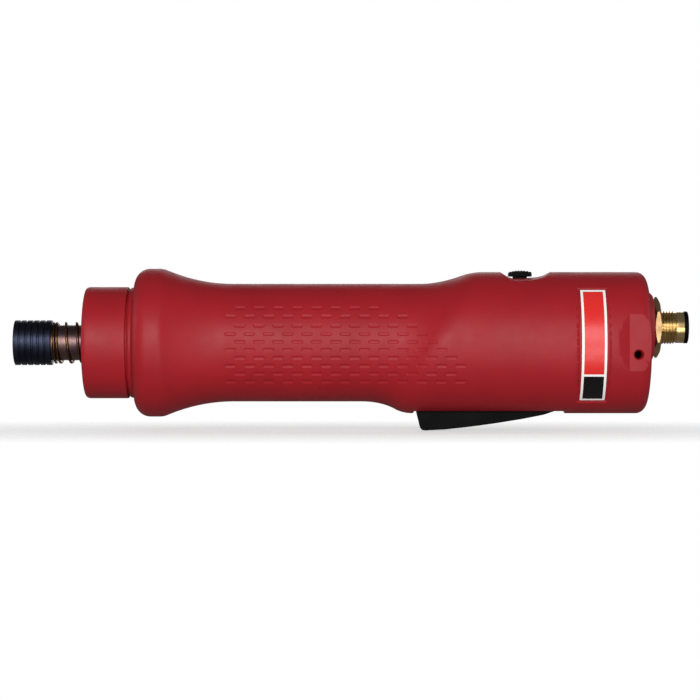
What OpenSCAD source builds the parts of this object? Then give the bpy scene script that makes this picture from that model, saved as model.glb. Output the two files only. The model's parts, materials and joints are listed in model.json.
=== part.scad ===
// In-line electric torque screwdriver. The tool axis is X: the bit socket opens towards -X,
// the supply connector leaves towards +X, the start lever hangs below (-Z) and
// the slide switch sits on top.
// The origin is the centre of the bit socket's mouth.

/* [Chuck] */
// Length of the sliding release sleeve
sleeve_len = 13.6; // [12:0.1:15]
// Diameter over the rings of the release sleeve
sleeve_d = 16.2; // [15.8:0.1:17]
// Number of rings on the release sleeve
sleeve_rings = 6; // [4:1:7]
// Depth of the grooves between the rings
ring_groove_depth = 0.55; // [0.3:0.05:0.6]
// Axial width of one groove
ring_groove_w = 0.5; // [0.3:0.05:0.7]
// Rearward travel of the sleeve that frees the bit
sleeve_travel = 3.5; // [2.5:0.1:3.6]
// Diameter of the output spindle
spindle_d = 12.7; // [12.5:0.05:12.8]
// Width across the flats of the bit socket
socket_af = 6.45; // [6.4:0.01:6.6]
// Depth of the bit socket
socket_depth = 13; // [11:0.5:16]
// Diameter of the bit-locking ball
detent_ball_d = 3.5; // [3.4:0.05:3.6]
// Wire diameter of the chuck spring
chuck_wire_d = 1.0; // [0.8:0.05:1.1]
// Distance from the socket's mouth to the front of the adjusting collar
nose_len = 25.6; // [25:0.1:30]

/* [Torque collar and clutch] */
// Length of the visible part of the adjusting collar
collar_len = 15.6; // [15.2:0.1:18]
// Diameter of the adjusting collar
collar_d = 40.1; // [39.6:0.1:40.6]
// Radius of the rounded front edge of the collar
collar_round = 2.0; // [0.8:0.1:2.6]
// Gap between the collar and the housing
collar_gap = 0.35; // [0.3:0.05:0.8]
// Thread bore of the collar, at the pitch line
collar_bore_d = 34.6; // [34.2:0.1:35]
// Travel of the spring seat over the whole setting range
seat_travel = 4; // [2:0.5:4]
// Wire diameter of the clutch spring
clutch_wire_d = 1.8; // [1.4:0.1:1.9]
// Mean diameter of the clutch spring
clutch_spring_d = 28.8; // [28.4:0.1:29.2]
// Number of clutch balls
clutch_balls = 6; // [3:1:8]
// Diameter of one clutch ball
clutch_ball_d = 4.1; // [4:0.05:4.2]
// Pitch radius of the ring of clutch balls
clutch_ball_r = 15; // [14.9:0.05:15.1]

/* [Planetary gear train] */
// Gear module of both stages
gear_module = 0.6; // [0.58:0.005:0.605]
// Teeth on each sun gear
sun_teeth = 12; // [12:1:12]
// Teeth on each planet gear
planet_teeth = 15; // [15:1:15]
// Pressure angle of the teeth
pressure_angle = 25; // [22:1:25]
// Play between two meshed teeth
gear_backlash = 0.06; // [0.04:0.01:0.1]
// Face width of the planet gears
gear_width = 6.3; // [5:0.1:7]
// Diameter of a planet pin
planet_pin_d = 2.5; // [2:0.1:3]

/* [Motor] */
// Diameter of the motor can
motor_d = 36.4; // [34:0.1:36.4]
// Length of the motor can
motor_len = 50; // [46:1:52]
// Diameter of the motor shaft
motor_shaft_d = 3.175; // [3:0.005:3.3]

/* [Housing] */
// Diameter of the handle
handle_d = 42.5; // [42.3:0.1:44]
// Largest diameter of the front bulge
bulge_d = 53.4; // [52:0.1:54]
// Share of the bulge's front face that its rounding takes
bulge_rounding = 0.8; // [0.65:0.05:0.9]
// Diameter of the rear body
body_d = 51; // [50.6:0.1:52]
// Wall of the handle
handle_wall = 2.75; // [2.5:0.05:2.75]
// Wall of the rear body
body_wall = 3.2; // [2.8:0.1:3.4]
// Distance from the collar gap to the rear face of the rear body
housing_len = 185.2; // [184:0.2:190]
// Where the shoulder starts, as a share of the housing's length
shoulder_place = 0.505; // [0.5:0.005:0.51]
// Angle of the slanted shoulder between handle and rear body
shoulder_angle = 26; // [20:1:28]
// Length of the shoulder's S-curve
shoulder_len = 20.5; // [18:0.5:22]
// Radius of the rear edge
rear_round = 3.6; // [2:0.1:4]
// Height of the raised boss around the supply connector
boss_h = 2.5; // [1.5:0.1:3.5]

/* [Controls] */
// Width of the start lever
lever_w = 10; // [9:0.2:10.4]
// Length of the start lever ahead of its pivot
lever_reach = 49.8; // [46:0.2:50]
// Height of the start lever below the pivot at its front end
lever_drop = 10; // [8:0.1:10.5]
// Squeeze angle of the start lever
lever_angle = 6; // [4:0.5:6]
// Play between the start lever and its slot, each side
lever_play = 0.3; // [0.2:0.05:0.5]
// Travel of the slide switch
slide_travel = 2; // [1:0.25:2]
// Length of the slide-switch knob
knob_len = 8.3; // [7:0.1:9]
// Width of the slide-switch knob
knob_w = 7; // [6:0.2:9]
// Number of grip teeth on the knob
knob_teeth = 8; // [5:1:10]

/* [Connector] */
// Outside diameter of the connector thread
thread_d = 12; // [11.6:0.1:12.4]
// Pitch of the connector thread
thread_pitch = 1; // [0.75:0.05:1.25]
// Length of the exposed connector thread
thread_len = 6.5; // [4:0.25:8]
// Length of the plain nose behind the thread
plain_nose_len = 2.2; // [1:0.1:4]
// Width across the flats of the lock nut
nut_af = 19; // [17:0.5:20]
// Thickness of the lock nut
nut_h = 2.3; // [2:0.1:4]
// Height of the connector above the tool axis
connector_z = 5.5; // [4:0.1:6]
// Number of contact pins
contact_pins = 4; // [4:1:4]

/* [Side features] */
// Diameter of the hanger holes
hanger_hole_d = 2.9; // [2:0.1:3.4]
// Depth of the flat hanger pads below the body's skin
pad_depth = 2.05; // [1.2:0.05:2.2]
// Width of the label along the axis
label_w = 8.8; // [6:0.2:10]
// Thickness of the label
label_t = 0.25; // [0.1:0.05:0.3]
// Screws that hold the two housing halves together
screw_d = 2.6; // [2.2:0.1:2.8]

/* [Hidden] */

red = [0.62, 0.12, 0.15];
black = [0.08, 0.08, 0.10];
steel = [0.62, 0.62, 0.64];
bronze = [0.45, 0.36, 0.28];
brass = [0.80, 0.65, 0.32];
grey = [0.35, 0.36, 0.38];

// Clearances
running = 0.05;
seat_gap = 0.1;
free_gap = 0.3;

// Facets along round stretches of a turned outline
arc_steps = 6;

// Stations along the tool axis, front to rear
collar_x = nose_len;
collar_end = collar_x + collar_len;
housing_x = collar_end + collar_gap;
housing_end = housing_x + housing_len;
boss_end = housing_end + boss_h;

// Spindle, bearings and chuck
spindle_r = spindle_d / 2;
bearing_w = 3.97;
bearing_r = 9.525;
bearing_play = 0.01;
sleeve_bore_r = spindle_r + running;
clip_x = 1.0;
clip_w = 0.9;
clip_groove = 0.45;
clip_r = spindle_r + 0.7;
sleeve_counterbore = clip_x + clip_w + running;
ball_x = 7;
ball_radial = sleeve_bore_r - running - detent_ball_d / 2;
washer_x = collar_x + 2.7;
washer_w = 1.0;
washer_r = spindle_r + 1.65;
chuck_coil_r = spindle_r + 0.25 + chuck_wire_d / 2;
collar_mouth_r = chuck_coil_r + chuck_wire_d / 2 + 0.8;

// Gear case with its nose tube
nose_tube_x = washer_x + washer_w + 0.7;
nose_tube_r = 11.8;
nose_rib_r = 12.8;
nose_rib_w = 2;
nose_bearing_x = nose_tube_x + 0.5;
seat_x = collar_x + 5.4;
seat_w = 3;
seat_bore_r = nose_tube_r + seat_gap;
seat_r = collar_bore_d / 2 - seat_gap;
plate_x = seat_x + seat_w + 16;
plate_w = 1.5;
ball_wall_x = plate_x + plate_w + 0.4;
ball_wall_w = 3.5;
ball_wall_end = ball_wall_x + ball_wall_w;
clutch_ball_x = ball_wall_x + ball_wall_w / 2 - 0.05;
inner_bearing_x = plate_x - 0.5 - bearing_w;
case_r = handle_d / 2 - handle_wall - free_gap;
case_bore_r = case_r - 1.5;
ring_gear_r = case_bore_r - seat_gap;

// Gear train
ring_teeth = sun_teeth + 2 * planet_teeth;
planet_count = 3;
planet_orbit = gear_module * (sun_teeth + planet_teeth) / 2;
carrier_r = gear_module * ring_teeth / 2 - gear_module - 0.4;
pin_play = 0.04;
carrier_w = 2.2;
face_gap = 0.3;
case_face = ball_wall_end;
stage2_ring_x = case_face + seat_gap;
stage2_plate_x = case_face + face_gap + 0.2;
stage2_gear_x = stage2_plate_x + carrier_w + face_gap;
stage1_plate_x = stage2_gear_x + gear_width + face_gap + 0.8;
stage1_gear_x = stage1_plate_x + carrier_w + face_gap;
stage1_gear_end = stage1_gear_x + gear_width;
stage2_ring_end = stage1_plate_x - seat_gap;
stage1_ring_x = stage2_ring_end + seat_gap;
case_end = stage1_gear_end + 1.2;

// Motor
motor_x = case_end + seat_gap;
motor_r = min(motor_d / 2, handle_d / 2 - handle_wall - free_gap);
motor_end = motor_x + motor_len;
can_wall = 1;
can_front = 1.6;
magnet_r = motor_r - can_wall - 3.2;
armature_r = magnet_r - 0.5;
armature_x = motor_x + 9;
armature_end = motor_end - 16;
bell_w = 4;
bushing_r = 5;
bushing_w = 3.4;
shaft_r = motor_shaft_d / 2;
shaft_play = 0.03;

// Housing
handle_r = handle_d / 2;
bulge_r = bulge_d / 2;
body_r = body_d / 2;
shell_gap_r = collar_d / 2 - 0.15;
bulge_round = bulge_rounding * (bulge_r - shell_gap_r);
neck_len = 1.95;
bulge_flat = 4.6;
taper_angle = 21.5;
taper_len = 3;
crease_x = housing_x + neck_len + bulge_round + bulge_flat;
taper_end_r = bulge_r - taper_len * tan(taper_angle);
waist_r = (taper_end_r - handle_r) / (1 - cos(taper_angle));
waist_x = crease_x + taper_len + waist_r * sin(taper_angle);
shoulder_x = housing_x + shoulder_place * housing_len;
shoulder_slope = tan(shoulder_angle);
shoulder_turn = 2 * atan((body_r - handle_r) / shoulder_len);
shoulder_sum = shoulder_len / sin(shoulder_turn);
shoulder_hollow_r = 0.66 * shoulder_sum;
shoulder_crown_r = 0.34 * shoulder_sum;
join_front = shoulder_x - shoulder_slope * body_r - 3;
join_rear = shoulder_x + shoulder_len + shoulder_slope * body_r + 2.5;
handle_bore_r = handle_r - handle_wall;
body_bore_r = body_r - body_wall;
rear_wall = 3;
rear_inner = housing_end - rear_wall;
widen_x = shoulder_x + shoulder_len + 2.5;
widen_end = widen_x + 4;

// Collar tail, caught behind the housing's neck
tail_neck_r = collar_d / 2 - 1.45;
tail_flange_r = tail_neck_r + 2;
neck_bore_r = tail_neck_r + 0.08;
neck_depth = 2.4;
tail_flange_x = housing_x + neck_depth + 0.1;
tail_flange_w = 1.8;
flange_chamber_r = tail_flange_r + free_gap;
flange_chamber_end = tail_flange_x + tail_flange_w + free_gap;
bulge_bore_r = bulge_r - 3.2;
rib_w = 1.5;

// Lever pocket, lever and trigger switch
pocket_z = -(body_r - 1);
pivot_z = pocket_z + 3;
pocket_x = shoulder_x + 8.5;
pivot_x = pocket_x + lever_reach + 0.7;
pocket_end = pivot_x + 3.75;
slot_w = lever_w + 2 * lever_play;
slot_top = -16;
lever_wall = 1.4;
lever_top = pocket_z + 1.7;
lever_x = pivot_x - lever_reach;
lever_low = pivot_z - lever_drop;
lever_rise = pocket_z - lever_low;
// Underside of the lever, front to rear: shares of its reach and of its rise to the pocket
lever_back = [[0.032, 0.129], [0.04, 0.043], [0.054, 0], [0.209, 0.05], [0.382, 0.186], [0.562, 0.357],
    [0.757, 0.579], [0.916, 0.8]];
lever_eye_r = 3;
lever_pin_r = 1.5;
plunger_arm = 14;
plunger_x = pivot_x - plunger_arm;
plunger_r = 1;
plunger_travel = plunger_arm * sin(lever_angle);
switch_len = 18;
switch_w = 6.4;
switch_bottom = -16;
switch_h = 9.6;
plunger_tip = switch_bottom - 2.4;
spring_arm = 41;
lever_spring_x = pivot_x - spring_arm;
lever_spring_seat = slot_top;
lever_wire_d = 0.6;
lever_coil_r = 2.5;

// Transverse frames in the rear body
frame_w = 2;
frame_front = plunger_x - switch_len / 2 - 0.15 - frame_w;
frame_rear = plunger_x + switch_len / 2 + 0.15;
board_z = 2;
board_t = 1.6;
board_half_w = 17.5;
board_x = frame_front - 4;
board_end = rear_inner - 16.6;
board_screw_z = board_half_w - 4.5;
board_bay_x = frame_rear + frame_w;
board_bay = board_end - board_bay_x;
wire_window_w = 22;
wire_window_h = 9;
base_slot_w = 13;

// Slide switch and the thumb scoop around it
scoop_floor = body_r - 2.4;
scoop_crown_r = 68;
scoop_x = shoulder_x + 38.9;
scoop_len = 19;
// Distance from the scoop's front edge, and height above its floor
scoop_profile = [[0, 2.6], [1.4, 1.7], [2.4, 1.05], [3.5, 0.4], [4.8, 0.05], [6.4, 0], [10, 0.12],
    [12.9, 0.4], [15.2, 0.8], [16.6, 1.3], [17.7, 1.85], [scoop_len, 2.6]];
pad_bottom = body_bore_r - 2.6;
knob_x = scoop_x + 3.55;
knob_top = body_r + 0.5;
knob_neck_len = 5;
knob_neck_w = 4.4;
knob_crown_r = 14;
base_h = 7;

// Connector
thread_r = thread_d / 2;
thread_depth = 0.6;
shank_r = thread_r - 0.2;
connector_nut_x = boss_end + 0.2;
thread_x = connector_nut_x + nut_h + 0.2;
plain_nose_x = thread_x + thread_len;
connector_rim_x = plain_nose_x + plain_nose_len;
rim_len = 1.3;
tool_end = connector_rim_x + rim_len;
shell_bore_r = thread_r - 1.1;
insert_bore_r = thread_r - 1.7;
cup_depth = 8;
contact_r = 0.5;
contact_orbit = 2.65;
connector_flange_r = 8.5;
connector_flange_w = 2.5;

// Hanger pads and label
hanger_x = housing_end - 4.8;
hanger_z = -4.3;
hanger_depth = 4;
hanger_boss_r = hanger_hole_d / 2 + 2;
pad_x = housing_end - 12;
pad_flat_x = housing_end - 8;
label_x = housing_end - 24.9;
label_up = 46.7;
label_down = 53.4;
label_border = 0.7;
label_recess = label_t + 0.1;

// Screws: station along the axis, height, and how deep the head sits from the parting plane
boss_r = 2.7;
head_r = 2.5;
screw_len = 14;
head_h = 1.8;
screw_seat = 7;
front_screw_z = bulge_bore_r - 1.9;
middle_screw_z = handle_bore_r - 2;
rear_screw_z = body_bore_r - 1.9;
screw_places = [
    [flange_chamber_end + 4.1, front_screw_z], [flange_chamber_end + 4.1, -front_screw_z],
    [motor_end + 9.5, middle_screw_z], [motor_end + 9.5, -middle_screw_z],
    [board_end + 4.5, rear_screw_z], [board_end + 4.5, -rear_screw_z]
];

// ---- Shapes along the tool axis -------------------------------------------------------------

function arc(centre_r, centre_x, rad, from, to, steps = arc_steps) =
    [for (i = [0:steps]) let (a = from + (to - from) * i / steps)
        [centre_r + rad * cos(a), centre_x + rad * sin(a)]];

module along_x(x = 0) translate([x, 0, 0]) rotate([0, 90, 0]) children();

// A turned piece: its outline is a list of [radius, station]
module turned(outline) along_x() rotate_extrude($fn = 96) polygon(outline);

module rod(x, end, r) along_x(x) cylinder(h = end - x, r = r, $fn = 96);

module rod_y(x, z, from, to, r)
    translate([x, from, z]) rotate([-90, 0, 0]) cylinder(h = to - from, r = r, $fn = 48);

module rod_z(x, y, from, to, r)
    translate([x, y, from]) cylinder(h = to - from, r = r, $fn = 48);

module ring(x, end, r, bore) turned([[bore, x], [r, x], [r, end], [bore, end]]);

module block(x, end, w, bottom, top)
    translate([x, -w / 2, bottom]) cube([end - x, w, top - bottom]);

// Equally spaced copies round the tool axis
module around(count, start = 0)
    for (i = [0:count - 1]) rotate([start + i * 360 / count, 0, 0]) children();

// ---- Coil springs ---------------------------------------------------------------------------

// Rise of the wire after a number of turns: tight turns, open turns, tight turns
function coil_rise(turn, head, open, tight, pitch) =
    turn <= head ? turn * tight
    : turn <= head + open ? head * tight + (turn - head) * pitch
    : head * tight + open * pitch + (turn - head - open) * tight;

// Right-hand coil about Z, from z = 0 to the given length over the wire
module coil(length, mean_r, wire_d, head, open, tail, phase = 0, steps = 20, sides = 8) {
    tight = wire_d * 1.06;
    pitch = (length - wire_d - (head + tail) * tight) / open;
    turns = head + open + tail;
    count = floor(turns * steps);
    points = [for (i = [0:count], j = [0:sides - 1])
        let (turn = turns * i / count, a = phase + 360 * turn, b = 360 * j / sides,
             r = mean_r + wire_d / 2 * cos(b),
             z = wire_d / 2 + coil_rise(turn, head, open, tight, pitch) + wire_d / 2 * sin(b))
        [r * cos(a), r * sin(a), z]];
    walls = [for (i = [0:count - 1], j = [0:sides - 1])
        let (p = i * sides + j, q = i * sides + (j + 1) % sides)
        [p, p + sides, q + sides, q]];
    first = [for (j = [0:sides - 1]) j];
    last = [for (j = [sides - 1:-1:0]) count * sides + j];
    polyhedron(points, concat(walls, [first, last]), convexity = 10);
}

// ---- Gears ----------------------------------------------------------------------------------

function involute(a) = tan(a) * 180 / PI - a;

// Half the angle that a tooth spans at radius r, in degrees
function tooth_half(r, teeth, play) =
    let (base = gear_module * teeth / 2 * cos(pressure_angle))
    90 / teeth + play / (gear_module * teeth) * 180 / PI
        + involute(pressure_angle) - involute(acos(min(1, base / r)));

// Outline of a gear with one tooth on +X. A positive play makes its teeth wider.
module gear_outline(teeth, tip, root, play) {
    pitch_r = gear_module * teeth / 2;
    base = pitch_r * cos(pressure_angle);
    low = max(base, pitch_r - root);
    high = pitch_r + tip;
    flank = [for (i = [0:2]) low + (high - low) * i / 2];
    polygon([for (t = [0:teeth - 1], p = [0:7])
        let (step = 360 / teeth,
             r = p == 0 || p == 7 ? pitch_r - root : p < 4 ? flank[p - 1] : flank[6 - p],
             half = tooth_half(max(r, low), teeth, play),
             a = t * step + (p < 4 ? -half : half))
        [r * cos(a), r * sin(a)]]);
}

module spur_gear(teeth, x, end, bore_r)
    along_x(x) linear_extrude(end - x) difference() {
        gear_outline(teeth, gear_module, gear_module * 1.25, -gear_backlash / 2);
        circle(r = bore_r, $fn = 48);
    }

module ring_gear(x, end)
    along_x(x) linear_extrude(end - x) difference() {
        circle(r = ring_gear_r, $fn = 96);
        gear_outline(ring_teeth, gear_module * 1.25, gear_module * 0.9, gear_backlash / 2);
    }

// A planet sits on its pin; number 1 is straight below the tool axis
module planet(number, x)
    rotate([(number - 1) * 360 / planet_count, 0, 0]) translate([0, 0, -planet_orbit])
        spur_gear(planet_teeth, x, x + gear_width, planet_pin_d / 2 + pin_play);

module planet_pins(x)
    around(planet_count) translate([0, 0, -planet_orbit])
        rod(x, x + carrier_w + face_gap + gear_width, planet_pin_d / 2);

// ---- Housing --------------------------------------------------------------------------------

// Neck, bulge and waist, up to the plane where the slanted shoulder takes over
module housing_front()
    turned(concat(
        [[0, housing_x], [shell_gap_r - 0.65, housing_x], [shell_gap_r, housing_x + 0.85],
         [shell_gap_r, housing_x + neck_len]],
        arc(bulge_r - bulge_round, housing_x + neck_len + bulge_round, bulge_round, -90, 0),
        [[bulge_r, crease_x]],
        arc(handle_r + waist_r, waist_x, waist_r, 180 + taper_angle, 180, 8),
        [[handle_r, join_front], [0, join_front]]));

// Handle end and shoulder: a turned form, slanted so that its top lies further back
module housing_shoulder()
    intersection() {
        multmatrix([[1, 0, shoulder_slope, 0], [0, 1, 0, 0], [0, 0, 1, 0], [0, 0, 0, 1]])
            turned(concat([[0, join_front - 2 * body_r], [handle_r, join_front - 2 * body_r]],
                arc(handle_r + shoulder_hollow_r, shoulder_x, shoulder_hollow_r,
                    180, 180 - shoulder_turn),
                arc(body_r - shoulder_crown_r, shoulder_x + shoulder_len, shoulder_crown_r,
                    -shoulder_turn, 0, 5),
                [[body_r, join_rear + 2 * body_r], [0, join_rear + 2 * body_r]]));
        block(join_front, join_rear, 4 * body_r, -2 * body_r, 2 * body_r);
    }

module housing_rear() {
    turned(concat([[0, join_rear], [body_r, join_rear]],
        arc(body_r - rear_round, housing_end - rear_round, rear_round, 0, 90),
        [[0, housing_end]]));
    translate([0, 0, connector_z]) along_x(housing_end - 0.5)
        cylinder(h = boss_h + 0.5, r1 = 14.5, r2 = 11.5, $fn = 96);
}

// The hollow inside, with the frames and rings that carry the gear case and the motor left standing
module housing_hollow() {
    turned([[0, housing_x - 1], [neck_bore_r, housing_x - 1], [neck_bore_r, housing_x + neck_depth],
        [flange_chamber_r, housing_x + neck_depth], [flange_chamber_r, flange_chamber_end],
        [bulge_bore_r, flange_chamber_end + 1.2], [bulge_bore_r, crease_x - 1],
        [handle_bore_r, crease_x - 1], [handle_bore_r, crease_x - 1 + rib_w],
        [bulge_bore_r - 1, crease_x - 1 + rib_w], [bulge_bore_r - 1, crease_x + 3.5],
        [handle_bore_r + 2, crease_x + 9], [handle_bore_r, crease_x + 9],
        [handle_bore_r, widen_x], [body_bore_r, widen_end], [body_bore_r, rear_inner],
        [0, rear_inner]]);
}

// One transverse frame with windows for the lever, the trigger switch's wires and the board
module frame(x)
    difference() {
        rod(x, x + frame_w, body_bore_r + 0.5);
        block(x - 1, x + frame_w + 1, 2 * board_half_w + 0.4, board_z - seat_gap,
            board_z + board_t + seat_gap);
        block(x - 1, x + frame_w + 1, slot_w + 0.4, -body_r, slot_top + 0.5);
        block(x - 1, x + frame_w + 1, wire_window_w, board_z, board_z + wire_window_h);
        block(x - 1, x + frame_w + 1, 16, -13, -3);
    }

module screw_boss(place)
    rod_y(place[0], place[1], -9.5, 9.5, boss_r);

module housing_fittings()
    intersection() {
        union() {
            frame(frame_front);
            frame(frame_rear);
            for (place = screw_places) screw_boss(place);
            for (side = [-1, 1]) {
                rod_y(hanger_x, hanger_z, side > 0 ? body_r - pad_depth - hanger_depth - 1.2 : -body_r + 1,
                    side > 0 ? body_r - 1 : -body_r + pad_depth + hanger_depth + 1.2, hanger_boss_r);
                translate([board_end - 10, side > 0 ? board_half_w - 1.5 : -body_bore_r - 0.5,
                    board_z - seat_gap - 1.8])
                    cube([10, body_bore_r - board_half_w + 2, 1.8]);
            }
            block(scoop_x - 3, scoop_x + scoop_len + 3, 26, pad_bottom, body_r);
            block(lever_spring_x - 5, lever_spring_x + 5, 2 * handle_r, slot_top, slot_top + 2);
        }
        housing_envelope();
    }

// What the inner fittings may fill: the body without its outermost skin
module housing_envelope()
    turned([[0, housing_x + neck_depth], [bulge_bore_r + 1.4, flange_chamber_end],
        [bulge_bore_r + 1.4, crease_x], [handle_r - 1, waist_x], [handle_r - 1, widen_x],
        [body_r - 1.5, widen_end], [body_r - 1.5, rear_inner + 1], [0, rear_inner + 1]]);

// Pocket under the body that the start lever closes into
module lever_pocket() {
    rotate([90, 0, 0]) linear_extrude(2 * body_r, center = true)
        polygon([[pocket_x - 1.2, pocket_z - 2.2], [pocket_x, pocket_z], [pocket_end, pocket_z],
            [pocket_end, pocket_z - 2.2]]);
    block(pocket_x + 0.2, pocket_end - 0.3, slot_w, pocket_z - 1, slot_top);
}

module thumb_scoop() {
    axis_z = scoop_floor - scoop_crown_r;
    translate([0, 0, axis_z]) along_x() rotate([0, 0, 155]) rotate_extrude(angle = 50, $fn = 180)
        polygon(concat(
            [for (p = scoop_profile) [scoop_crown_r + p[1], scoop_x + p[0]]],
            [[scoop_crown_r + 6, scoop_x + scoop_len], [scoop_crown_r + 6, scoop_x]]));
}

module hanger_pads()
    for (side = [-1, 1]) {
        linear_extrude(4 * body_r, center = true)
            polygon([[pad_x, side * body_r], [pad_flat_x, side * (body_r - pad_depth)],
                [housing_end + 1, side * (body_r - pad_depth)], [housing_end + 1, side * (body_r + 2)],
                [pad_x, side * (body_r + 2)]]);
        rod_y(hanger_x, hanger_z, side > 0 ? body_r - pad_depth - hanger_depth : -body_r - 1,
            side > 0 ? body_r + 1 : -body_r + pad_depth + hanger_depth, hanger_hole_d / 2);
    }

module label_recess()
    along_x() rotate([0, 0, 270 - label_up - 1.6])
        rotate_extrude(angle = label_up + label_down + 3.2, $fn = 180)
        translate([body_r - label_recess, label_x - label_border])
            square([label_recess + 1, label_w + 2 * label_border]);

module screw_holes()
    for (place = screw_places) {
        rod_y(place[0], place[1], screw_seat - screw_len - 0.5, screw_seat + 1, screw_d / 2 + 0.1);
        rod_y(place[0], place[1], screw_seat, body_r + 5, head_r + 0.2);
    }

module housing_body()
    difference() {
        union() {
            difference() {
                union() {
                    housing_front();
                    housing_shoulder();
                    housing_rear();
                }
                housing_hollow();
            }
            housing_fittings();
        }
        lever_pocket();
        thumb_scoop();
        hanger_pads();
        screw_holes();
        rod_y(pivot_x, pivot_z, -slot_w / 2 - 4, slot_w / 2 + 4, lever_pin_r + 0.03);
        block(knob_x + (knob_len - knob_neck_len) / 2 - 0.4,
            knob_x + (knob_len + knob_neck_len) / 2 + slide_travel + 0.4, knob_neck_w + 0.4, 10, body_r);
        block(frame_front + frame_w, frame_rear, base_slot_w, pad_bottom - base_h, pad_bottom);
        translate([0, 0, connector_z]) rod(rear_inner - 1, boss_end + 1, shank_r + running);
        rod(housing_x, case_end, case_r + seat_gap);
    }

module half(side) intersection() {
    housing_body();
    translate([housing_x - body_r, side > 0 ? 0 : -2 * body_r, -2 * body_r])
        cube([housing_len + 2 * body_r, 2 * body_r, 4 * body_r]);
}

module housing_left() color(red) difference() {
    half(-1);
    label_recess();
}

module housing_right() color(red) half(1);

module housing_screws() color(steel)
    for (place = screw_places) {
        rod_y(place[0], place[1], screw_seat - screw_len, screw_seat + 0.1, screw_d / 2);
        difference() {
            rod_y(place[0], place[1], screw_seat + seat_gap / 2, screw_seat + head_h, head_r);
            translate([place[0], screw_seat + head_h - 1.1, place[1]]) rotate([-90, 0, 0])
                cylinder(h = 2, r = 1.2, $fn = 6);
        }
    }

module side_label() color("white")
    along_x() rotate([0, 0, 270 - label_up]) rotate_extrude(angle = label_up + label_down, $fn = 180)
        translate([body_r - label_recess + 0.05, label_x]) square([label_t, label_w]);

// ---- Collar and clutch ----------------------------------------------------------------------

module adjusting_collar() color(red) {
    r = collar_d / 2;
    front_wall = 2.5;
    turned(concat(
        [[collar_mouth_r + 0.6, collar_x]],
        arc(r - collar_round - 0.1, collar_x + collar_round, collar_round, -90, -8),
        [[r, collar_x + collar_round + 0.1], [r, collar_end - 0.4], [r - 0.4, collar_end],
         [tail_neck_r, collar_end], [tail_neck_r, tail_flange_x], [tail_flange_r, tail_flange_x],
         [tail_flange_r, tail_flange_x + tail_flange_w], [collar_bore_d / 2, tail_flange_x + tail_flange_w],
         [collar_bore_d / 2, collar_x + front_wall], [collar_mouth_r, collar_x + front_wall],
         [collar_mouth_r, collar_x + 0.6]]));
}

module spring_seat() color(steel) difference() {
    ring(seat_x, seat_x + seat_w, seat_r, seat_bore_r);
    around(3) block(seat_x - 1, seat_x + seat_w + 1, nose_rib_w + 0.3, -nose_rib_r - 0.15, 0);
}

module clutch_spring() color(steel)
    along_x(seat_x + seat_w + running)
        coil(plate_x - seat_x - seat_w - 2 * running, clutch_spring_d / 2, clutch_wire_d, 0.8, 3.6, 0.8);

module clutch_plate() color(steel)
    ring(plate_x, plate_x + plate_w, clutch_ball_r + 2.2, nose_tube_r + 0.5);

module clutch_balls() color(steel)
    around(clutch_balls) translate([clutch_ball_x, 0, clutch_ball_r]) sphere(d = clutch_ball_d, $fn = 48);

module gear_case() color(grey) difference() {
    union() {
        turned([[bearing_r + bearing_play, nose_tube_x], [nose_tube_r, nose_tube_x],
            [nose_tube_r, ball_wall_x], [case_r, ball_wall_x], [case_r, case_end],
            [case_bore_r, case_end], [case_bore_r, ball_wall_end], [spindle_r + 0.5, ball_wall_end],
            [spindle_r + 0.5, inner_bearing_x + bearing_w + running],
            [bearing_r + bearing_play, inner_bearing_x + bearing_w + running]]);
        around(3)
            block(nose_tube_x, seat_x + seat_w + seat_travel + 1, nose_rib_w, -nose_rib_r, -nose_tube_r + 0.5);
    }
    around(clutch_balls) translate([0, 0, clutch_ball_r])
        rod(ball_wall_x - 1, ball_wall_end + 1, clutch_ball_d / 2 + running);
}

module clutch_ring_gear() color(steel) difference() {
    ring_gear(stage2_ring_x, stage2_ring_end);
    around(clutch_balls) translate([clutch_ball_x, 0, clutch_ball_r])
        sphere(d = clutch_ball_d + 2 * running, $fn = 48);
}

module fixed_ring_gear() color(steel) ring_gear(stage1_ring_x, case_end - seat_gap);

module bearing(x) {
    ring(x, x + bearing_w, bearing_r, bearing_r - 0.8);
    ring(x, x + bearing_w, spindle_r + bearing_play + 0.8, spindle_r + bearing_play);
    ring(x + 0.6, x + bearing_w - 0.6, bearing_r - 0.75, spindle_r + bearing_play + 0.75);
}

module nose_bearing() color(steel) bearing(nose_bearing_x);

module inner_bearing() color(steel) bearing(inner_bearing_x);

// ---- Spindle and chuck ----------------------------------------------------------------------

module output_spindle() color(bronze) difference() {
    turned([[0, 0], [spindle_r - 0.5, 0], [spindle_r, 0.5], [spindle_r, clip_x],
        [spindle_r - clip_groove, clip_x], [spindle_r - clip_groove, clip_x + clip_w],
        [spindle_r, clip_x + clip_w], [spindle_r, stage2_plate_x], [0, stage2_plate_x]]);
    along_x(-1) cylinder(h = socket_depth + 1, r = socket_af / 2 / cos(30), $fn = 6);
    for (side = [0, 180]) rotate([side, 0, 0])
        rod_z(ball_x, 0, 1, spindle_r + 1, detent_ball_d / 2 + running);
    ring(washer_x + 0.2, washer_x + washer_w - 0.2, spindle_r + 1, spindle_r - clip_groove);
}

module detent_balls() color(steel)
    for (side = [-1, 1]) translate([ball_x, 0, side * ball_radial]) sphere(d = detent_ball_d, $fn = 48);

module chuck_clip() color(steel)
    ring(clip_x + 0.03, clip_x + clip_w - 0.03, clip_r, spindle_r - clip_groove + 0.03);

module spring_washer() color(steel) {
    ring(washer_x, washer_x + washer_w, washer_r, spindle_r + 0.02);
    ring(washer_x + 0.22, washer_x + washer_w - 0.22, spindle_r + 0.05, spindle_r - clip_groove + 0.03);
}

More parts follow.
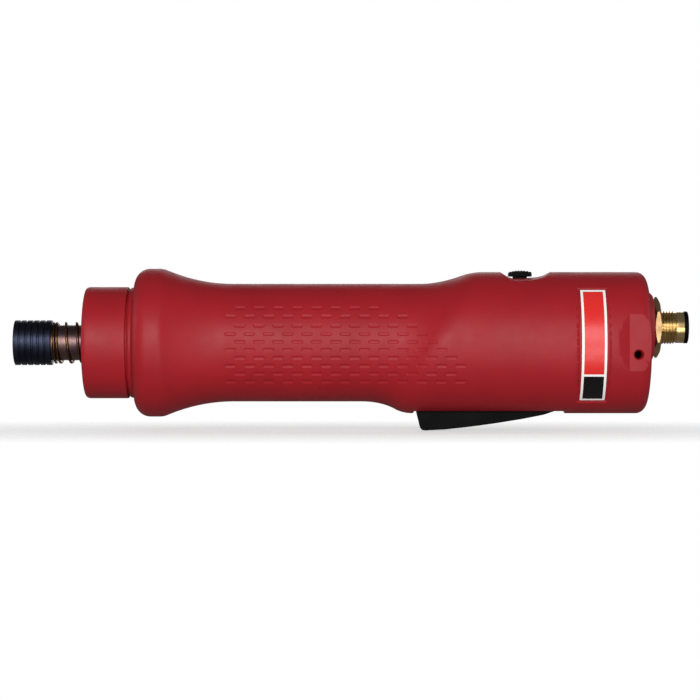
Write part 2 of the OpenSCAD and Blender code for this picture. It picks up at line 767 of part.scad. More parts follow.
module chuck_spring() color(bronze)
    along_x(sleeve_len + running)
        coil(washer_x - sleeve_len - 2 * running, chuck_coil_r, chuck_wire_d, 1.42, 2.93, 0.75, 122);

module chuck_sleeve() color(black) {
    ring_pitch = (sleeve_len - 0.2) / sleeve_rings;
    r = sleeve_d / 2;
    edge = 0.15;
    difference() {
        turned(concat(
            [[clip_r + 0.1, 0]],
            [for (i = [0:sleeve_rings - 1], p = [0:5])
                let (start = 0.1 + i * ring_pitch + (i > 0 ? ring_groove_w / 2 : -0.1),
                     end = 0.1 + (i + 1) * ring_pitch - (i < sleeve_rings - 1 ? ring_groove_w / 2 : -0.1))
                [p == 0 || p == 5 ? r - ring_groove_depth : p == 1 || p == 4 ? r - edge : r,
                 p < 2 ? start : p == 2 ? start + edge : p == 3 ? end - edge : end]],
            [[sleeve_bore_r, sleeve_len], [sleeve_bore_r, sleeve_counterbore],
             [clip_r + 0.1, sleeve_counterbore]]));
        ring(ball_x - sleeve_travel - detent_ball_d / 2 + 0.6,
            ball_x - sleeve_travel + detent_ball_d / 2 - 0.6, sleeve_bore_r + 0.75, sleeve_bore_r - 1);
    }
}

// ---- Gear train -----------------------------------------------------------------------------

module output_carrier() color(steel) {
    ring(stage2_plate_x, stage2_plate_x + carrier_w, carrier_r, 1);
    planet_pins(stage2_plate_x);
}

module first_carrier() color(steel) {
    ring(stage1_plate_x, stage1_plate_x + carrier_w, carrier_r, 1);
    planet_pins(stage1_plate_x);
    spur_gear(sun_teeth, stage2_gear_x + face_gap, stage1_plate_x + 0.5, 1);
}

module first_planet_1() color(brass) planet(1, stage1_gear_x);
module first_planet_2() color(brass) planet(2, stage1_gear_x);
module first_planet_3() color(brass) planet(3, stage1_gear_x);
module second_planet_1() color(brass) planet(1, stage2_gear_x);
module second_planet_2() color(brass) planet(2, stage2_gear_x);
module second_planet_3() color(brass) planet(3, stage2_gear_x);

// ---- Motor ----------------------------------------------------------------------------------

module motor_can() color(steel)
    turned([[bushing_r + 0.03, motor_x], [motor_r, motor_x], [motor_r, motor_end],
        [motor_r - can_wall, motor_end], [motor_r - can_wall, motor_x + can_front],
        [bushing_r + 0.03, motor_x + can_front]]);

module motor_magnets() color(grey)
    for (side = [0, 180]) along_x() rotate([0, 0, side - 65]) rotate_extrude(angle = 130, $fn = 96)
        translate([magnet_r, armature_x - 1])
            square([motor_r - can_wall - magnet_r - running, armature_end - armature_x + 2]);

module motor_end_bell() color(black)
    turned([[bushing_r + 0.03, motor_end - bell_w], [motor_r - can_wall - running, motor_end - bell_w],
        [motor_r - can_wall - running, motor_end - 0.5], [bushing_r + 2, motor_end - 0.5],
        [bushing_r + 2, motor_end], [bushing_r + 0.03, motor_end]]);

module motor_bushings() color(brass) {
    ring(motor_x + 0.1, motor_x + 0.1 + bushing_w, bushing_r, shaft_r + shaft_play);
    ring(motor_end - 0.1 - bushing_w, motor_end - 0.1, bushing_r, shaft_r + shaft_play);
}

module motor_shaft() color(steel) rod(stage1_gear_x + 0.4, motor_end + 1.5, shaft_r);

// Core with pole slots, and the windings' heads at both ends
module armature() color(grey) {
    along_x(armature_x) linear_extrude(armature_end - armature_x) difference() {
        circle(r = armature_r, $fn = 96);
        for (i = [0:4]) rotate(i * 72 + 36) {
            translate([armature_r - 2, -0.8]) square([4, 1.6]);
            translate([armature_r - 4.5, 0]) circle(r = 2.8, $fn = 32);
        }
        circle(r = shaft_r + running, $fn = 48);
    }
    for (x = [armature_x - 3, armature_end])
        ring(x, x + 3, armature_r - 3.5, shaft_r + 1.5);
}

module commutator() color("peru") ring(armature_end + 3.1, motor_end - bell_w - 0.5, 4.5, shaft_r + running);

module motor_pinion() color(brass)
    spur_gear(sun_teeth, stage1_gear_x + face_gap, stage1_gear_end + 0.6, shaft_r + running);

// ---- Controls -------------------------------------------------------------------------------

module control_board() color("darkgreen")
    difference() {
        block(board_x, board_end, 2 * board_half_w, board_z, board_z + board_t);
        for (side = [-1, 1])
            rod_z(board_x + 3.5, side * board_screw_z, board_z - 1, board_z + board_t + 1, 1.6);
    }

module board_parts() color(black) {
    top = board_z + board_t + running;
    chip_pitch = switch_len / 2;
    can_r = board_bay / 5;
    // power transistors beside the start switch, and a row of small parts
    for (i = [0:2]) translate([board_x + 7 + i * chip_pitch, -chip_pitch, top]) cube([6, 8, 2.2]);
    for (i = [0:3]) translate([frame_front + frame_w + 2.5 + i * switch_len / 5, 4, top]) cube([2, 3.2, 1.2]);
    // capacitors and the plug for the connector's wires
    for (i = [0.28, 0.78]) rod_z(board_bay_x + i * board_bay, -2.5 * can_r, top, top + 7, can_r);
    translate([board_bay_x + 1.5, 2, top]) cube([0.75 * board_bay, 9, 4.5]);
}

module trigger_switch() color(black)
    difference() {
        block(plunger_x - switch_len / 2, plunger_x + switch_len / 2, switch_w,
            switch_bottom, switch_bottom + switch_h);
        rod_z(plunger_x, 0, switch_bottom - 1, switch_bottom + 5, plunger_r + running);
    }

module switch_plunger() color("white") rod_z(plunger_x, 0, plunger_tip, switch_bottom + 2.5, plunger_r);

// Side outline of the lever: straight top, curved back, hung from the pivot's eye
function lever_outline() = concat(
    [[lever_x, lever_top], [lever_x + 0.05, pocket_z]],
    [for (p = lever_back) [lever_x + p[0] * lever_reach, lever_low + p[1] * lever_rise]],
    [[pivot_x, pocket_z], [pivot_x, lever_top]]);

module lever_side(w) rotate([90, 0, 0]) linear_extrude(w, center = true) children();

module start_lever() color(black) {
    inner = lever_w - 2 * lever_wall;
    difference() {
        union() {
            lever_side(lever_w) polygon(lever_outline());
            rod_y(pivot_x, pivot_z, -lever_w / 2, lever_w / 2, lever_eye_r);
        }
        lever_side(inner) polygon([[lever_x + 2.4, lever_top + 1],
            [lever_x + 3.4, lever_low + lever_wall + 0.6],
            [lever_x + 19, lever_low + lever_wall + 1.6], [pivot_x - 8, pocket_z + 0.2],
            [pivot_x - 7, lever_top + 1]]);
        rod_y(pivot_x, pivot_z, -lever_w, lever_w, lever_pin_r + 0.04);
    }
    // rib that pushes the switch's plunger, and the spigot that centres the return spring
    block(plunger_x - 1.5, plunger_x + 1.5, inner + 0.2, lever_low + 4.5, plunger_tip - 0.12);
    rod_z(lever_spring_x, 0, lever_low + 1.5, lever_low + 4.5, lever_coil_r - 0.9);
}

module lever_pin() color(steel)
    rod_y(pivot_x, pivot_z, -slot_w / 2 - 3.8, slot_w / 2 + 3.8, lever_pin_r);

module lever_spring() color(steel)
    translate([lever_spring_x, 0, lever_low + lever_wall + 1.7])
        coil(lever_spring_seat - lever_low - lever_wall - 1.8, lever_coil_r, lever_wire_d, 1, 5, 1, 0, 16, 6);

module slide_base() color(black)
    difference() {
        block(frame_front + frame_w + 0.15, frame_rear - 0.15, base_slot_w - 0.4, pad_bottom - base_h + 0.2,
            pad_bottom - 0.1);
        block(knob_x + (knob_len - knob_neck_len) / 2 - 0.4,
            knob_x + (knob_len + knob_neck_len) / 2 + slide_travel + 0.4, knob_neck_w + 0.4,
            pad_bottom - 2.5, pad_bottom);
    }

// Domed knob with a row of grip teeth, and the neck that reaches the switch
module slide_knob() color(black) {
    bottom = scoop_floor + 0.7;
    pitch = (knob_len - 0.9) / knob_teeth;
    dome_r = 9;
    middle = knob_x + knob_len / 2;
    intersection() {
        rotate([90, 0, 0]) linear_extrude(knob_w, center = true) polygon(concat(
            [[knob_x, bottom], [knob_x + 0.2, knob_top - 1.1]],
            [for (i = [0:knob_teeth - 1], p = [0:3])
                let (x = knob_x + 0.45 + (i + [0, 0.3, 0.7, 1][p]) * pitch,
                     crest = knob_top - dome_r + sqrt(dome_r * dome_r - (x - middle) * (x - middle)))
                [x, crest - (p == 0 || p == 3 ? 0.45 : 0)]],
            [[knob_x + knob_len, knob_top - 1.1], [knob_x + knob_len, bottom]]));
        rotate([0, 90, 0]) translate([knob_crown_r - knob_top, 0, knob_x - 1])
            cylinder(h = knob_len + 2, r = knob_crown_r, $fn = 96);
    }
    block(knob_x + (knob_len - knob_neck_len) / 2, knob_x + (knob_len + knob_neck_len) / 2, knob_neck_w,
        pad_bottom - 2.2, bottom + 0.5);
}

// ---- Connector ------------------------------------------------------------------------------

module at_connector() translate([0, 0, connector_z]) children();

// Threaded shell: the exposed thread is a row of rings at the thread's pitch
module connector_shell() color(brass) at_connector() {
    root = thread_r - thread_depth;
    crest = thread_pitch * 0.14;
    rings = floor(thread_len / thread_pitch);
    flank = (thread_pitch - crest) / 2;
    turned(concat(
        [[shell_bore_r, rear_inner - 0.2 - connector_flange_w],
         [connector_flange_r, rear_inner - 0.2 - connector_flange_w],
         [connector_flange_r, rear_inner - 0.2], [shank_r, rear_inner - 0.2],
         [shank_r, thread_x - 0.2], [root, thread_x - 0.1]],
        [for (i = [0:rings - 1], p = [0:2])
            let (x = thread_x + i * thread_pitch)
            [p == 0 ? root : thread_r, p == 0 ? x : p == 1 ? x + flank : x + flank + crest]],
        [[root, thread_x + rings * thread_pitch], [root, plain_nose_x], [thread_r - 0.35, plain_nose_x + 0.1],
         [thread_r - 0.35, connector_rim_x - 0.2], [thread_r - 0.55, connector_rim_x],
         [shell_bore_r, connector_rim_x]]));
}

module connector_nut() color(brass) at_connector() difference() {
    intersection() {
        along_x(connector_nut_x) cylinder(h = nut_h, r = nut_af / 2 / cos(30), $fn = 6);
        turned([[0, connector_nut_x], [nut_af / 2 - 0.2, connector_nut_x],
            [nut_af / 2 + 1.6, connector_nut_x + 0.9],
            [nut_af / 2 + 1.6, connector_nut_x + nut_h - 0.9], [nut_af / 2 - 0.2, connector_nut_x + nut_h],
            [0, connector_nut_x + nut_h]]);
    }
    rod(connector_nut_x - 1, connector_nut_x + nut_h + 1, shank_r + running);
}

module connector_seal() color(black) at_connector()
    ring(boss_end + 0.02, connector_nut_x - 0.02, thread_r + 2.2, shank_r + running);

module connector_insert() color(black) at_connector()
    turned([[0, connector_rim_x + rim_len - cup_depth - 3],
        [shell_bore_r - running, connector_rim_x + rim_len - cup_depth - 3],
        [shell_bore_r - running, connector_rim_x + running], [thread_r - 0.25, connector_rim_x + running],
        [thread_r - 0.25, tool_end - 0.2], [thread_r - 0.45, tool_end], [insert_bore_r + 0.3, tool_end],
        [insert_bore_r, tool_end - 0.3], [insert_bore_r, tool_end - cup_depth], [0, tool_end - cup_depth]]);

module connector_pins() color(brass) at_connector()
    around(contact_pins) translate([0, 0, contact_orbit]) {
        rod(tool_end - cup_depth + 0.02, tool_end - 1.6, contact_r);
        rod(tool_end - cup_depth - 6, tool_end - cup_depth - 3.03, contact_r);
    }

housing_left();
housing_right();
housing_screws();
side_label();
adjusting_collar();
spring_seat();
clutch_spring();
clutch_plate();
clutch_balls();
gear_case();
clutch_ring_gear();
fixed_ring_gear();
nose_bearing();
inner_bearing();
output_spindle();
detent_balls();
chuck_clip();
spring_washer();
chuck_spring();
chuck_sleeve();
output_carrier();
first_carrier();
first_planet_1();
first_planet_2();
first_planet_3();
second_planet_1();
second_planet_2();
second_planet_3();
motor_can();
motor_magnets();
motor_end_bell();
motor_bushings();
motor_shaft();
armature();
commutator();
motor_pinion();
control_board();
board_parts();
trigger_switch();
switch_plunger();
start_lever();
lever_pin();
lever_spring();
slide_base();
slide_knob();
connector_shell();
connector_nut();
connector_seal();
connector_insert();
connector_pins();
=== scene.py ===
"""Electric torque screwdriver: skins, springs, controls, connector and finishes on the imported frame."""
import json
import math

import bmesh
import bpy
import numpy as np
from bpy.props import FloatProperty, FloatVectorProperty, IntProperty, PointerProperty
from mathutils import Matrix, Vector


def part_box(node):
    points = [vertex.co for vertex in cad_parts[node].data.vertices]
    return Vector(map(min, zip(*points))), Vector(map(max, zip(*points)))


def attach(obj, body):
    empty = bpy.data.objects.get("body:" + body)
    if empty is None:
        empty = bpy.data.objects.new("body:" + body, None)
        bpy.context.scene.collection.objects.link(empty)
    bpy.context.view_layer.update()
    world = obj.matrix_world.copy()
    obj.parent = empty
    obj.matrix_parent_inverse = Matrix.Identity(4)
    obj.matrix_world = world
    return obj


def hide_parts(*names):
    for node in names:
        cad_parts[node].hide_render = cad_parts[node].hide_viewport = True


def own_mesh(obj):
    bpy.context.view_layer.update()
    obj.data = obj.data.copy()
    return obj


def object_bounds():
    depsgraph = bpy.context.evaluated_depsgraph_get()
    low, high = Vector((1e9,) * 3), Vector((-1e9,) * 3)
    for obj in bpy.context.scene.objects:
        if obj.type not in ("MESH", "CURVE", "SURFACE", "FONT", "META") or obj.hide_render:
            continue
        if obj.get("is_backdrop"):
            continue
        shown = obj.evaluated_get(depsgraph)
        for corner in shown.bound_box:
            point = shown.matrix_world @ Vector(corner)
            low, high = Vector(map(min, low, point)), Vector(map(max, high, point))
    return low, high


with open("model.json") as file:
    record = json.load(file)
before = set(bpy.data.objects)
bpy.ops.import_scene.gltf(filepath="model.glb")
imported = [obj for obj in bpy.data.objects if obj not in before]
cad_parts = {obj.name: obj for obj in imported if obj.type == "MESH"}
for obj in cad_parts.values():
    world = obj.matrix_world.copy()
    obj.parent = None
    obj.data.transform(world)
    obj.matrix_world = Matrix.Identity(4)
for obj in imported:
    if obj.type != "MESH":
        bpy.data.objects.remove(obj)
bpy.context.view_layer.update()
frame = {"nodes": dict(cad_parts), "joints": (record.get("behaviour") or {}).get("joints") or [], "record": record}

bl_info = {
    "name": "Electric torque screwdriver",
    "version": (1, 0, 0),
    "blender": (4, 5, 0),
    "location": "View3D > Sidebar > Torque driver",
    "description": "Builds the housing, chuck, controls and connector of an electric torque screwdriver",
    "category": "Object",
}

MM = 0.001

# Stations along the tool axis and radii, in millimetres, as the CAD parts have them
HOUSING_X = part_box("housing_left")[0].x / MM
BOSS_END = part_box("housing_left")[1].x / MM
BOSS_H = 2.5
HOUSING_END = BOSS_END - BOSS_H
NECK_R = 19.9
NECK_LEN = 1.95
SHOULDER_X = HOUSING_X + 0.505 * (HOUSING_END - HOUSING_X)
SHOULDER_LEN = 20.5
REAR_ROUND = 3.6
CONNECTOR_Z = 5.5
LEVER_HINGE = next(j for j in frame["joints"] if j["name"] == "lever_press")["pos_m"]
PIVOT_X, PIVOT_Z = LEVER_HINGE[0] / MM, LEVER_HINGE[2] / MM
POCKET_Z = PIVOT_Z - 3
POCKET_X = PIVOT_X - 50.5
LEVER_LOW = -31.5
LEVER_SPRING_X = POCKET_X + 9.5
HANGER = (HOUSING_END - 4.8, -4.3)
LABEL_X = HOUSING_END - 24.9
LABEL_W = 8.8
LABEL_R = 25.45
LABEL_BORDER = 0.85
RECESS_MARGIN = 0.85
THREAD_PITCH = 1.0
# How far the dressed skin lies inside the CAD solid that it is cut from
INSET = 0.08
FRONT_X = HOUSING_X + 0.03
REAR_X = HOUSING_END - 0.03


# ---- Meshes ---------------------------------------------------------------------------------

# Where an outline's two coordinates and its height go, by the axis that it is extruded along
PUT = {
    "x": lambda a, b, c: (c, a, b),
    "y": lambda a, b, c: (a, c, b),
    "z": lambda a, b, c: (a, b, c),
}


def new_object(name, points, faces):
    """A mesh object from points in millimetres."""
    mesh = bpy.data.meshes.new(name)
    mesh.from_pydata([tuple(c * MM for c in p) for p in points], [], faces)
    obj = bpy.data.objects.new(name, mesh)
    bpy.context.scene.collection.objects.link(obj)
    tidy_mesh(obj)
    return obj


def tidy_mesh(obj, weld=2e-7):
    """Merges the points that coincide and turns all faces outwards."""
    bm = bmesh.new()
    bm.from_mesh(obj.data)
    bmesh.ops.remove_doubles(bm, verts=bm.verts, dist=weld)
    bmesh.ops.dissolve_degenerate(bm, edges=bm.edges, dist=weld / 4)
    bmesh.ops.recalc_face_normals(bm, faces=bm.faces)
    bm.to_mesh(obj.data)
    bm.free()


def wall(i, j, n):
    """The faces between two rings of n points."""
    return [(i * n + k, i * n + (k + 1) % n, j * n + (k + 1) % n, j * n + k) for k in range(n)]


def turned(name, outline, steps=96, z=0.0, sweep=360.0, start=0.0):
    """A closed outline of (radius, station) turned about a line along X at height z."""
    full = sweep >= 360
    count = steps if full else steps + 1
    points, faces, n = [], [], len(outline)
    for i in range(count):
        a = math.radians(start + sweep * i / steps)
        points += [(x, r * math.sin(a), z + r * math.cos(a)) for r, x in outline]
    for i in range(steps):
        faces += wall(i, (i + 1) % count, n)
    if not full:
        faces += [tuple(range(n)), tuple((count - 1) * n + k for k in reversed(range(n)))]
    return new_object(name, points, faces)


def soften(corners, steps=5):
    """An outline of (a, b, rounding) corners, with each rounding drawn as an arc."""
    out, n = [], len(corners)
    for i, corner in enumerate(corners):
        p = np.array(corner[:2], float)
        rounding = corner[2] if len(corner) > 2 else 0
        before, after = (np.array(corners[(i + d) % n][:2], float) - p for d in (-1, 1))
        la, lb = np.linalg.norm(before), np.linalg.norm(after)
        if rounding <= 0 or la < 1e-9 or lb < 1e-9:
            out.append(tuple(p))
            continue
        u, v = before / la, after / lb
        angle = math.acos(max(-1, min(1, float(u @ v))))
        back = min(rounding / math.tan(angle / 2), 0.49 * la, 0.49 * lb)
        for k in range(steps + 1):
            t = k / steps
            q = (1 - t) ** 2 * u * back + t ** 2 * v * back
            arc_like = 1 - 0.12 * 4 * t * (1 - t)
            out.append(tuple(p + q * arc_like))
    return out


def flat_plate(name, outline, low, high, axis="y"):
    """An outline in two coordinates, extruded along the third from low to high."""
    n = len(outline)
    put = PUT[axis]
    points = [put(a, b, low) for a, b in outline] + [put(a, b, high) for a, b in outline]
    faces = [tuple(range(n)), tuple(range(2 * n - 1, n - 1, -1))]
    faces += [(k, (k + 1) % n, n + (k + 1) % n, n + k) for k in range(n)]
    return new_object(name, points, faces)


def block(name, x, end, low_y, high_y, bottom, top):
    return flat_plate(name, [(x, bottom), (end, bottom), (end, top), (x, top)], low_y, high_y)


def rod(name, centre, r, low, high, axis="y", steps=48, chamfer=0.0):
    """A round rod along one axis; centre gives the other two coordinates in order."""
    put = PUT[axis]
    rings = [(low, r - chamfer), (low + chamfer, r), (high - chamfer, r), (high, r - chamfer)]
    rings = rings if chamfer > 0 else [rings[0], rings[3]]
    points, faces = [], []
    for c, radius in rings:
        for i in range(steps):
            a = 2 * math.pi * i / steps
            points.append(put(centre[0] + radius * math.cos(a), centre[1] + radius * math.sin(a), c))
    for k in range(len(rings) - 1):
        for i in range(steps):
            j = (i + 1) % steps
            faces.append((k * steps + i, k * steps + j, (k + 1) * steps + j, (k + 1) * steps + i))
    faces += [tuple(range(steps)), tuple(reversed(range((len(rings) - 1) * steps, len(rings) * steps)))]
    return new_object(name, points, faces)


def solid_change(obj, others, operation):
    """Adds, cuts or intersects solids, and removes the ones that were used."""
    for other in others:
        step = obj.modifiers.new("solid", "BOOLEAN")
        step.operation, step.solver, step.object = operation, "MANIFOLD", other
    apply_modifiers(obj)
    for other in others:
        bpy.data.objects.remove(other)
    if not obj.data.polygons:
        raise RuntimeError(f"{obj.name}: the {operation.lower()} left nothing")
    return obj


def add(obj, *others):
    return solid_change(obj, others, "UNION")


def cut(obj, *others):
    return solid_change(obj, others, "DIFFERENCE")


def keep_inside(obj, other):
    return solid_change(obj, [other], "INTERSECT")


def apply_modifiers(obj):
    bpy.context.view_layer.update()
    graph = bpy.context.evaluated_depsgraph_get()
    mesh = bpy.data.meshes.new_from_object(obj.evaluated_get(graph))
    obj.modifiers.clear()
    obj.data = mesh


def round_edges(obj, width, angle=40, segments=3):
    """Rounds the edges that are sharper than an angle."""
    step = obj.modifiers.new("edges", "BEVEL")
    step.width, step.segments = width * MM, segments
    step.limit_method, step.angle_limit = "ANGLE", math.radians(angle)
    step.miter_outer = "MITER_ARC"
    apply_modifiers(obj)


def place(obj, name, body, nodes, finish, sharp=35):
    """Names a finished piece, smooths it, gives it its finish and hangs it on its body."""
    obj.name = obj.data.name = name
    obj.data.shade_smooth()
    obj.data.set_sharp_from_angle(angle=math.radians(sharp))
    even = obj.modifiers.new("even", "WEIGHTED_NORMAL")
    even.keep_sharp, even.weight = True, 90
    apply_modifiers(obj)
    obj.data.name = name
    if finish:
        obj.data.materials.clear()
        obj.data.materials.append(finish)
    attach(obj, body)
    if nodes:
        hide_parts(*nodes)
    return obj


# ---- Finishes -------------------------------------------------------------------------------

def linear(colour):
    """Linear values of a screen colour."""
    return tuple(c / 12.92 if c <= 0.04045 else ((c + 0.055) / 1.055) ** 2.4 for c in colour[:3]) + (1.0,)


def shaded(colour, factor):
    return tuple(min(1.0, c * factor) for c in colour[:3])


class Finish:
    """A material with its shader and helpers for its nodes. Patterns are in metres on the piece."""

    def __init__(self, name):
        self.material = bpy.data.materials.new(name)
        self.material.use_nodes = True
        self.nodes = self.material.node_tree.nodes
        self.links = self.material.node_tree.links
        self.shader = self.nodes["Principled BSDF"]
        self.place = self.nodes.new("ShaderNodeTexCoord").outputs["Object"]

    def set(self, **values):
        for name, value in values.items():
            self.shader.inputs[name.replace("_", " ")].default_value = value
        return self

    def stretched(self, scale, turn=(0, 0, 0)):
        """The piece's coordinates, scaled differently along each axis."""
        node = self.nodes.new("ShaderNodeMapping")
        node.inputs["Scale"].default_value = scale
        node.inputs["Rotation"].default_value = turn
        self.links.new(self.place, node.inputs["Vector"])
        return node.outputs["Vector"]

    def noise(self, size_mm, detail=3.0, rough=0.55, vector=None):
        node = self.nodes.new("ShaderNodeTexNoise")
        node.inputs["Scale"].default_value = 1 / (size_mm * MM)
        node.inputs["Detail"].default_value = detail
        node.inputs["Roughness"].default_value = rough
        self.links.new(vector or self.place, node.inputs["Vector"])
        return node.outputs["Fac"]

    def spread(self, value, low, high, to_low=0.0, to_high=1.0):
        node = self.nodes.new("ShaderNodeMapRange")
        for key, number in (("From Min", low), ("From Max", high), ("To Min", to_low), ("To Max", to_high)):
            node.inputs[key].default_value = number
        self.links.new(value, node.inputs["Value"])
        return node.outputs["Result"]

    def blended(self, value, colours):
        """Colours spread evenly over a value from 0 to 1."""
        node = self.nodes.new("ShaderNodeValToRGB")
        ramp = node.color_ramp
        while len(ramp.elements) < len(colours):
            ramp.elements.new(0.5)
        for i, colour in enumerate(colours):
            ramp.elements[i].position = i / (len(colours) - 1)
            ramp.elements[i].color = linear(colour)
        self.links.new(value, node.inputs["Fac"])
        return node.outputs["Color"]

    def combine(self, operation, a, b):
        node = self.nodes.new("ShaderNodeMath")
        node.operation = operation
        for socket, value in zip(node.inputs, (a, b)):
            if isinstance(value, (int, float)):
                socket.default_value = value
            else:
                self.links.new(value, socket)
        return node.outputs["Value"]

    def shared(self, a, b, share):
        """Two values mixed, with the first one's share given."""
        first = self.combine("MULTIPLY", a, share)
        return self.combine("ADD", first, self.combine("MULTIPLY", b, 1 - share))

    def colour(self, output):
        self.links.new(output, self.shader.inputs["Base Color"])
        return self

    def roughness(self, output):
        self.links.new(output, self.shader.inputs["Roughness"])
        return self

    def relief(self, *layers):
        """Stacks bumps of (height, depth in mm)."""
        normal = None
        for height, depth in layers:
            node = self.nodes.new("ShaderNodeBump")
            node.inputs["Distance"].default_value = depth * MM
            node.inputs["Strength"].default_value = 1.0
            self.links.new(height, node.inputs["Height"])
            if normal:
                self.links.new(normal, node.inputs["Normal"])
            normal = node.outputs["Normal"]
        self.links.new(normal, self.shader.inputs["Normal"])
        return self


def moulded_plastic(name, colour, rough=0.50, grain=0.22, depth=0.010, specular=0.2):
    """Satin moulded plastic: fine spark-eroded grain, faint flow clouds and handling polish."""
    f = Finish(name).set(IOR=1.5)
    f.shader.inputs["Specular IOR Level"].default_value = specular
    cloud = f.noise(16, 4)
    tone = f.spread(f.shared(cloud, f.noise(0.6, 2), 0.7), 0.3, 0.7)
    f.colour(f.blended(tone, [shaded(colour, 0.955), colour, shaded(colour, 1.04)]))
    polish = f.noise(7, 5, 0.6)
    f.roughness(f.spread(polish, 0.3, 0.7, rough - 0.05, rough + 0.06))
    f.relief((f.noise(grain, 2, 0.5), depth), (f.noise(9, 2), 0.02))
    return f.material


def turned_metal(name, colours, rough, depth=0.004, metallic=1.0, along=0.10, cloud_mm=6.0):
    """Metal with fine turning rings along the axis, tint clouds and small handling marks."""
    f = Finish(name).set(Metallic=metallic)
    rings = f.noise(1.0, 3, 0.6, f.stretched((1 / along, 0.35, 0.35)))
    clouds = f.noise(cloud_mm, 4, 0.6)
    f.colour(f.blended(f.spread(f.shared(clouds, rings, 0.8), 0.3, 0.7), colours))
    marks = f.noise(2.2, 6, 0.7)
    smooth, worn = max(0.05, rough - 0.08), rough + 0.1
    f.roughness(f.spread(f.shared(rings, marks, 0.4), 0.3, 0.7, smooth, worn))
    f.relief((rings, depth), (marks, depth))
    return f.material


def plain_metal(name, colours, rough, depth=0.004, grain=0.25):
    """Cast, stamped or sintered metal with an even grain."""
    f = Finish(name).set(Metallic=1.0)
    clouds = f.noise(5, 4)
    f.colour(f.blended(f.spread(clouds, 0.3, 0.7), colours))
    fine = f.noise(grain, 3, 0.6)
    f.roughness(f.spread(f.noise(1.5, 5, 0.65), 0.3, 0.7, max(0.06, rough - 0.07), rough + 0.09))
    f.relief((fine, depth))
    return f.material


def board_finish(name):
    """Green solder mask with a fine copper pattern under it."""
    f = Finish(name).set(Roughness=0.35)
    tracks = f.nodes.new("ShaderNodeTexBrick")
    tracks.inputs["Scale"].default_value = 1 / (4 * MM)
    tracks.inputs["Mortar Size"].default_value = 0.03
    greens = {"Color1": (0.03, 0.22, 0.10), "Color2": (0.04, 0.26, 0.12), "Mortar": (0.10, 0.38, 0.16)}
    for key, colour in greens.items():
        tracks.inputs[key].default_value = linear(colour)
    f.links.new(f.place, tracks.inputs["Vector"])
    f.colour(tracks.outputs["Color"])
    f.relief((f.noise(0.5, 3), 0.01))
    return f.material


def film_finish(name, colour):
    """One ink of a printed film: glossy, with a faint orange-peel and ink mottling."""
    f = Finish(name)
    f.shader.inputs["Specular IOR Level"].default_value = 0.35
    f.colour(f.blended(f.spread(f.noise(1.4, 4), 0.3, 0.7), [shaded(colour, 0.985), colour]))
    f.roughness(f.spread(f.noise(3, 4), 0.3, 0.7, 0.24, 0.34))
    f.relief((f.noise(0.9, 2), 0.002))
    return f.material


def rubber_finish(name):
    f = Finish(name)
    f.shader.inputs["Specular IOR Level"].default_value = 0.3
    f.colour(f.blended(f.noise(2, 4), [(0.05, 0.05, 0.055), (0.10, 0.10, 0.105)]))
    f.roughness(f.spread(f.noise(1, 4), 0.3, 0.7, 0.6, 0.78))
    f.relief((f.noise(0.2, 3), 0.01))
    return f.material


_finishes = {}


def finish_for(slot):
    """The material of a record slot, made once."""
    if slot in _finishes:
        return _finishes[slot]
    colours = bpy.context.scene.driver_colours
    red, black, border = tuple(colours.red), tuple(colours.black), tuple(colours.label_border)
    recipes = {
        "red_plastic": lambda: moulded_plastic("red_moulded_plastic", red),
        "black_plastic": lambda: moulded_plastic("black_moulded_plastic", black, 0.55, 0.2, 0.010, 0.05),
        "white_plastic": lambda: moulded_plastic("white_moulded_plastic", (0.80, 0.80, 0.77), 0.4),
        "printed_label": lambda: film_finish("label_border", border),
        "black_steel": lambda: turned_metal(
            "blackened_steel", [(0.12, 0.13, 0.17), (0.18, 0.20, 0.26)], 0.42, 0.003),
        "bronzed_steel": lambda: turned_metal(
            "heat_tinted_steel",
            [(0.40, 0.35, 0.23), (0.41, 0.32, 0.28), (0.36, 0.28, 0.31), (0.44, 0.33, 0.26)],
            0.38, 0.004, cloud_mm=9),
        "bronzed_spring": lambda: plain_metal(
            "tinted_spring_wire", [(0.30, 0.22, 0.14), (0.42, 0.31, 0.20)], 0.26, 0.002),
        "spring_steel": lambda: plain_metal(
            "spring_wire", [(0.50, 0.50, 0.52), (0.62, 0.62, 0.64)], 0.28, 0.002),
        "bright_steel": lambda: turned_metal(
            "ground_steel", [(0.66, 0.66, 0.68), (0.74, 0.74, 0.76)], 0.26, 0.002),
        "gear_steel": lambda: plain_metal(
            "hardened_gear_steel", [(0.40, 0.40, 0.42), (0.50, 0.50, 0.51)], 0.36),
        "gear_brass": lambda: plain_metal("gear_brass", [(0.70, 0.55, 0.28), (0.80, 0.66, 0.36)], 0.32),
        "gilt_brass": lambda: turned_metal(
            "gilt_brass", [(0.70, 0.58, 0.36), (0.80, 0.70, 0.48), (0.84, 0.74, 0.60)],
            0.22, 0.002, cloud_mm=3),
        "die_cast": lambda: plain_metal(
            "die_cast_alloy", [(0.48, 0.49, 0.51), (0.57, 0.58, 0.60)], 0.5, 0.012, 0.4),
        "magnet": lambda: plain_metal(
            "sintered_magnet", [(0.10, 0.10, 0.11), (0.16, 0.16, 0.17)], 0.7, 0.015, 0.3),
        "core_iron": lambda: plain_metal(
            "laminated_core", [(0.30, 0.28, 0.27), (0.42, 0.38, 0.35)], 0.5, 0.012, 0.4),
        "copper": lambda: turned_metal(
            "turned_copper", [(0.72, 0.38, 0.24), (0.82, 0.48, 0.32)], 0.28, 0.003),
        "board": lambda: board_finish("circuit_board"),
        "seal_rubber": lambda: rubber_finish("seal_rubber"),
    }
    _finishes[slot] = recipes[slot]()
    return _finishes[slot]


# ---- Sizes that a user would change ---------------------------------------------------------

def length(name, description, default):
    return FloatProperty(name=name, description=description, default=default * MM,
                         subtype="DISTANCE", unit="LENGTH", precision=5)


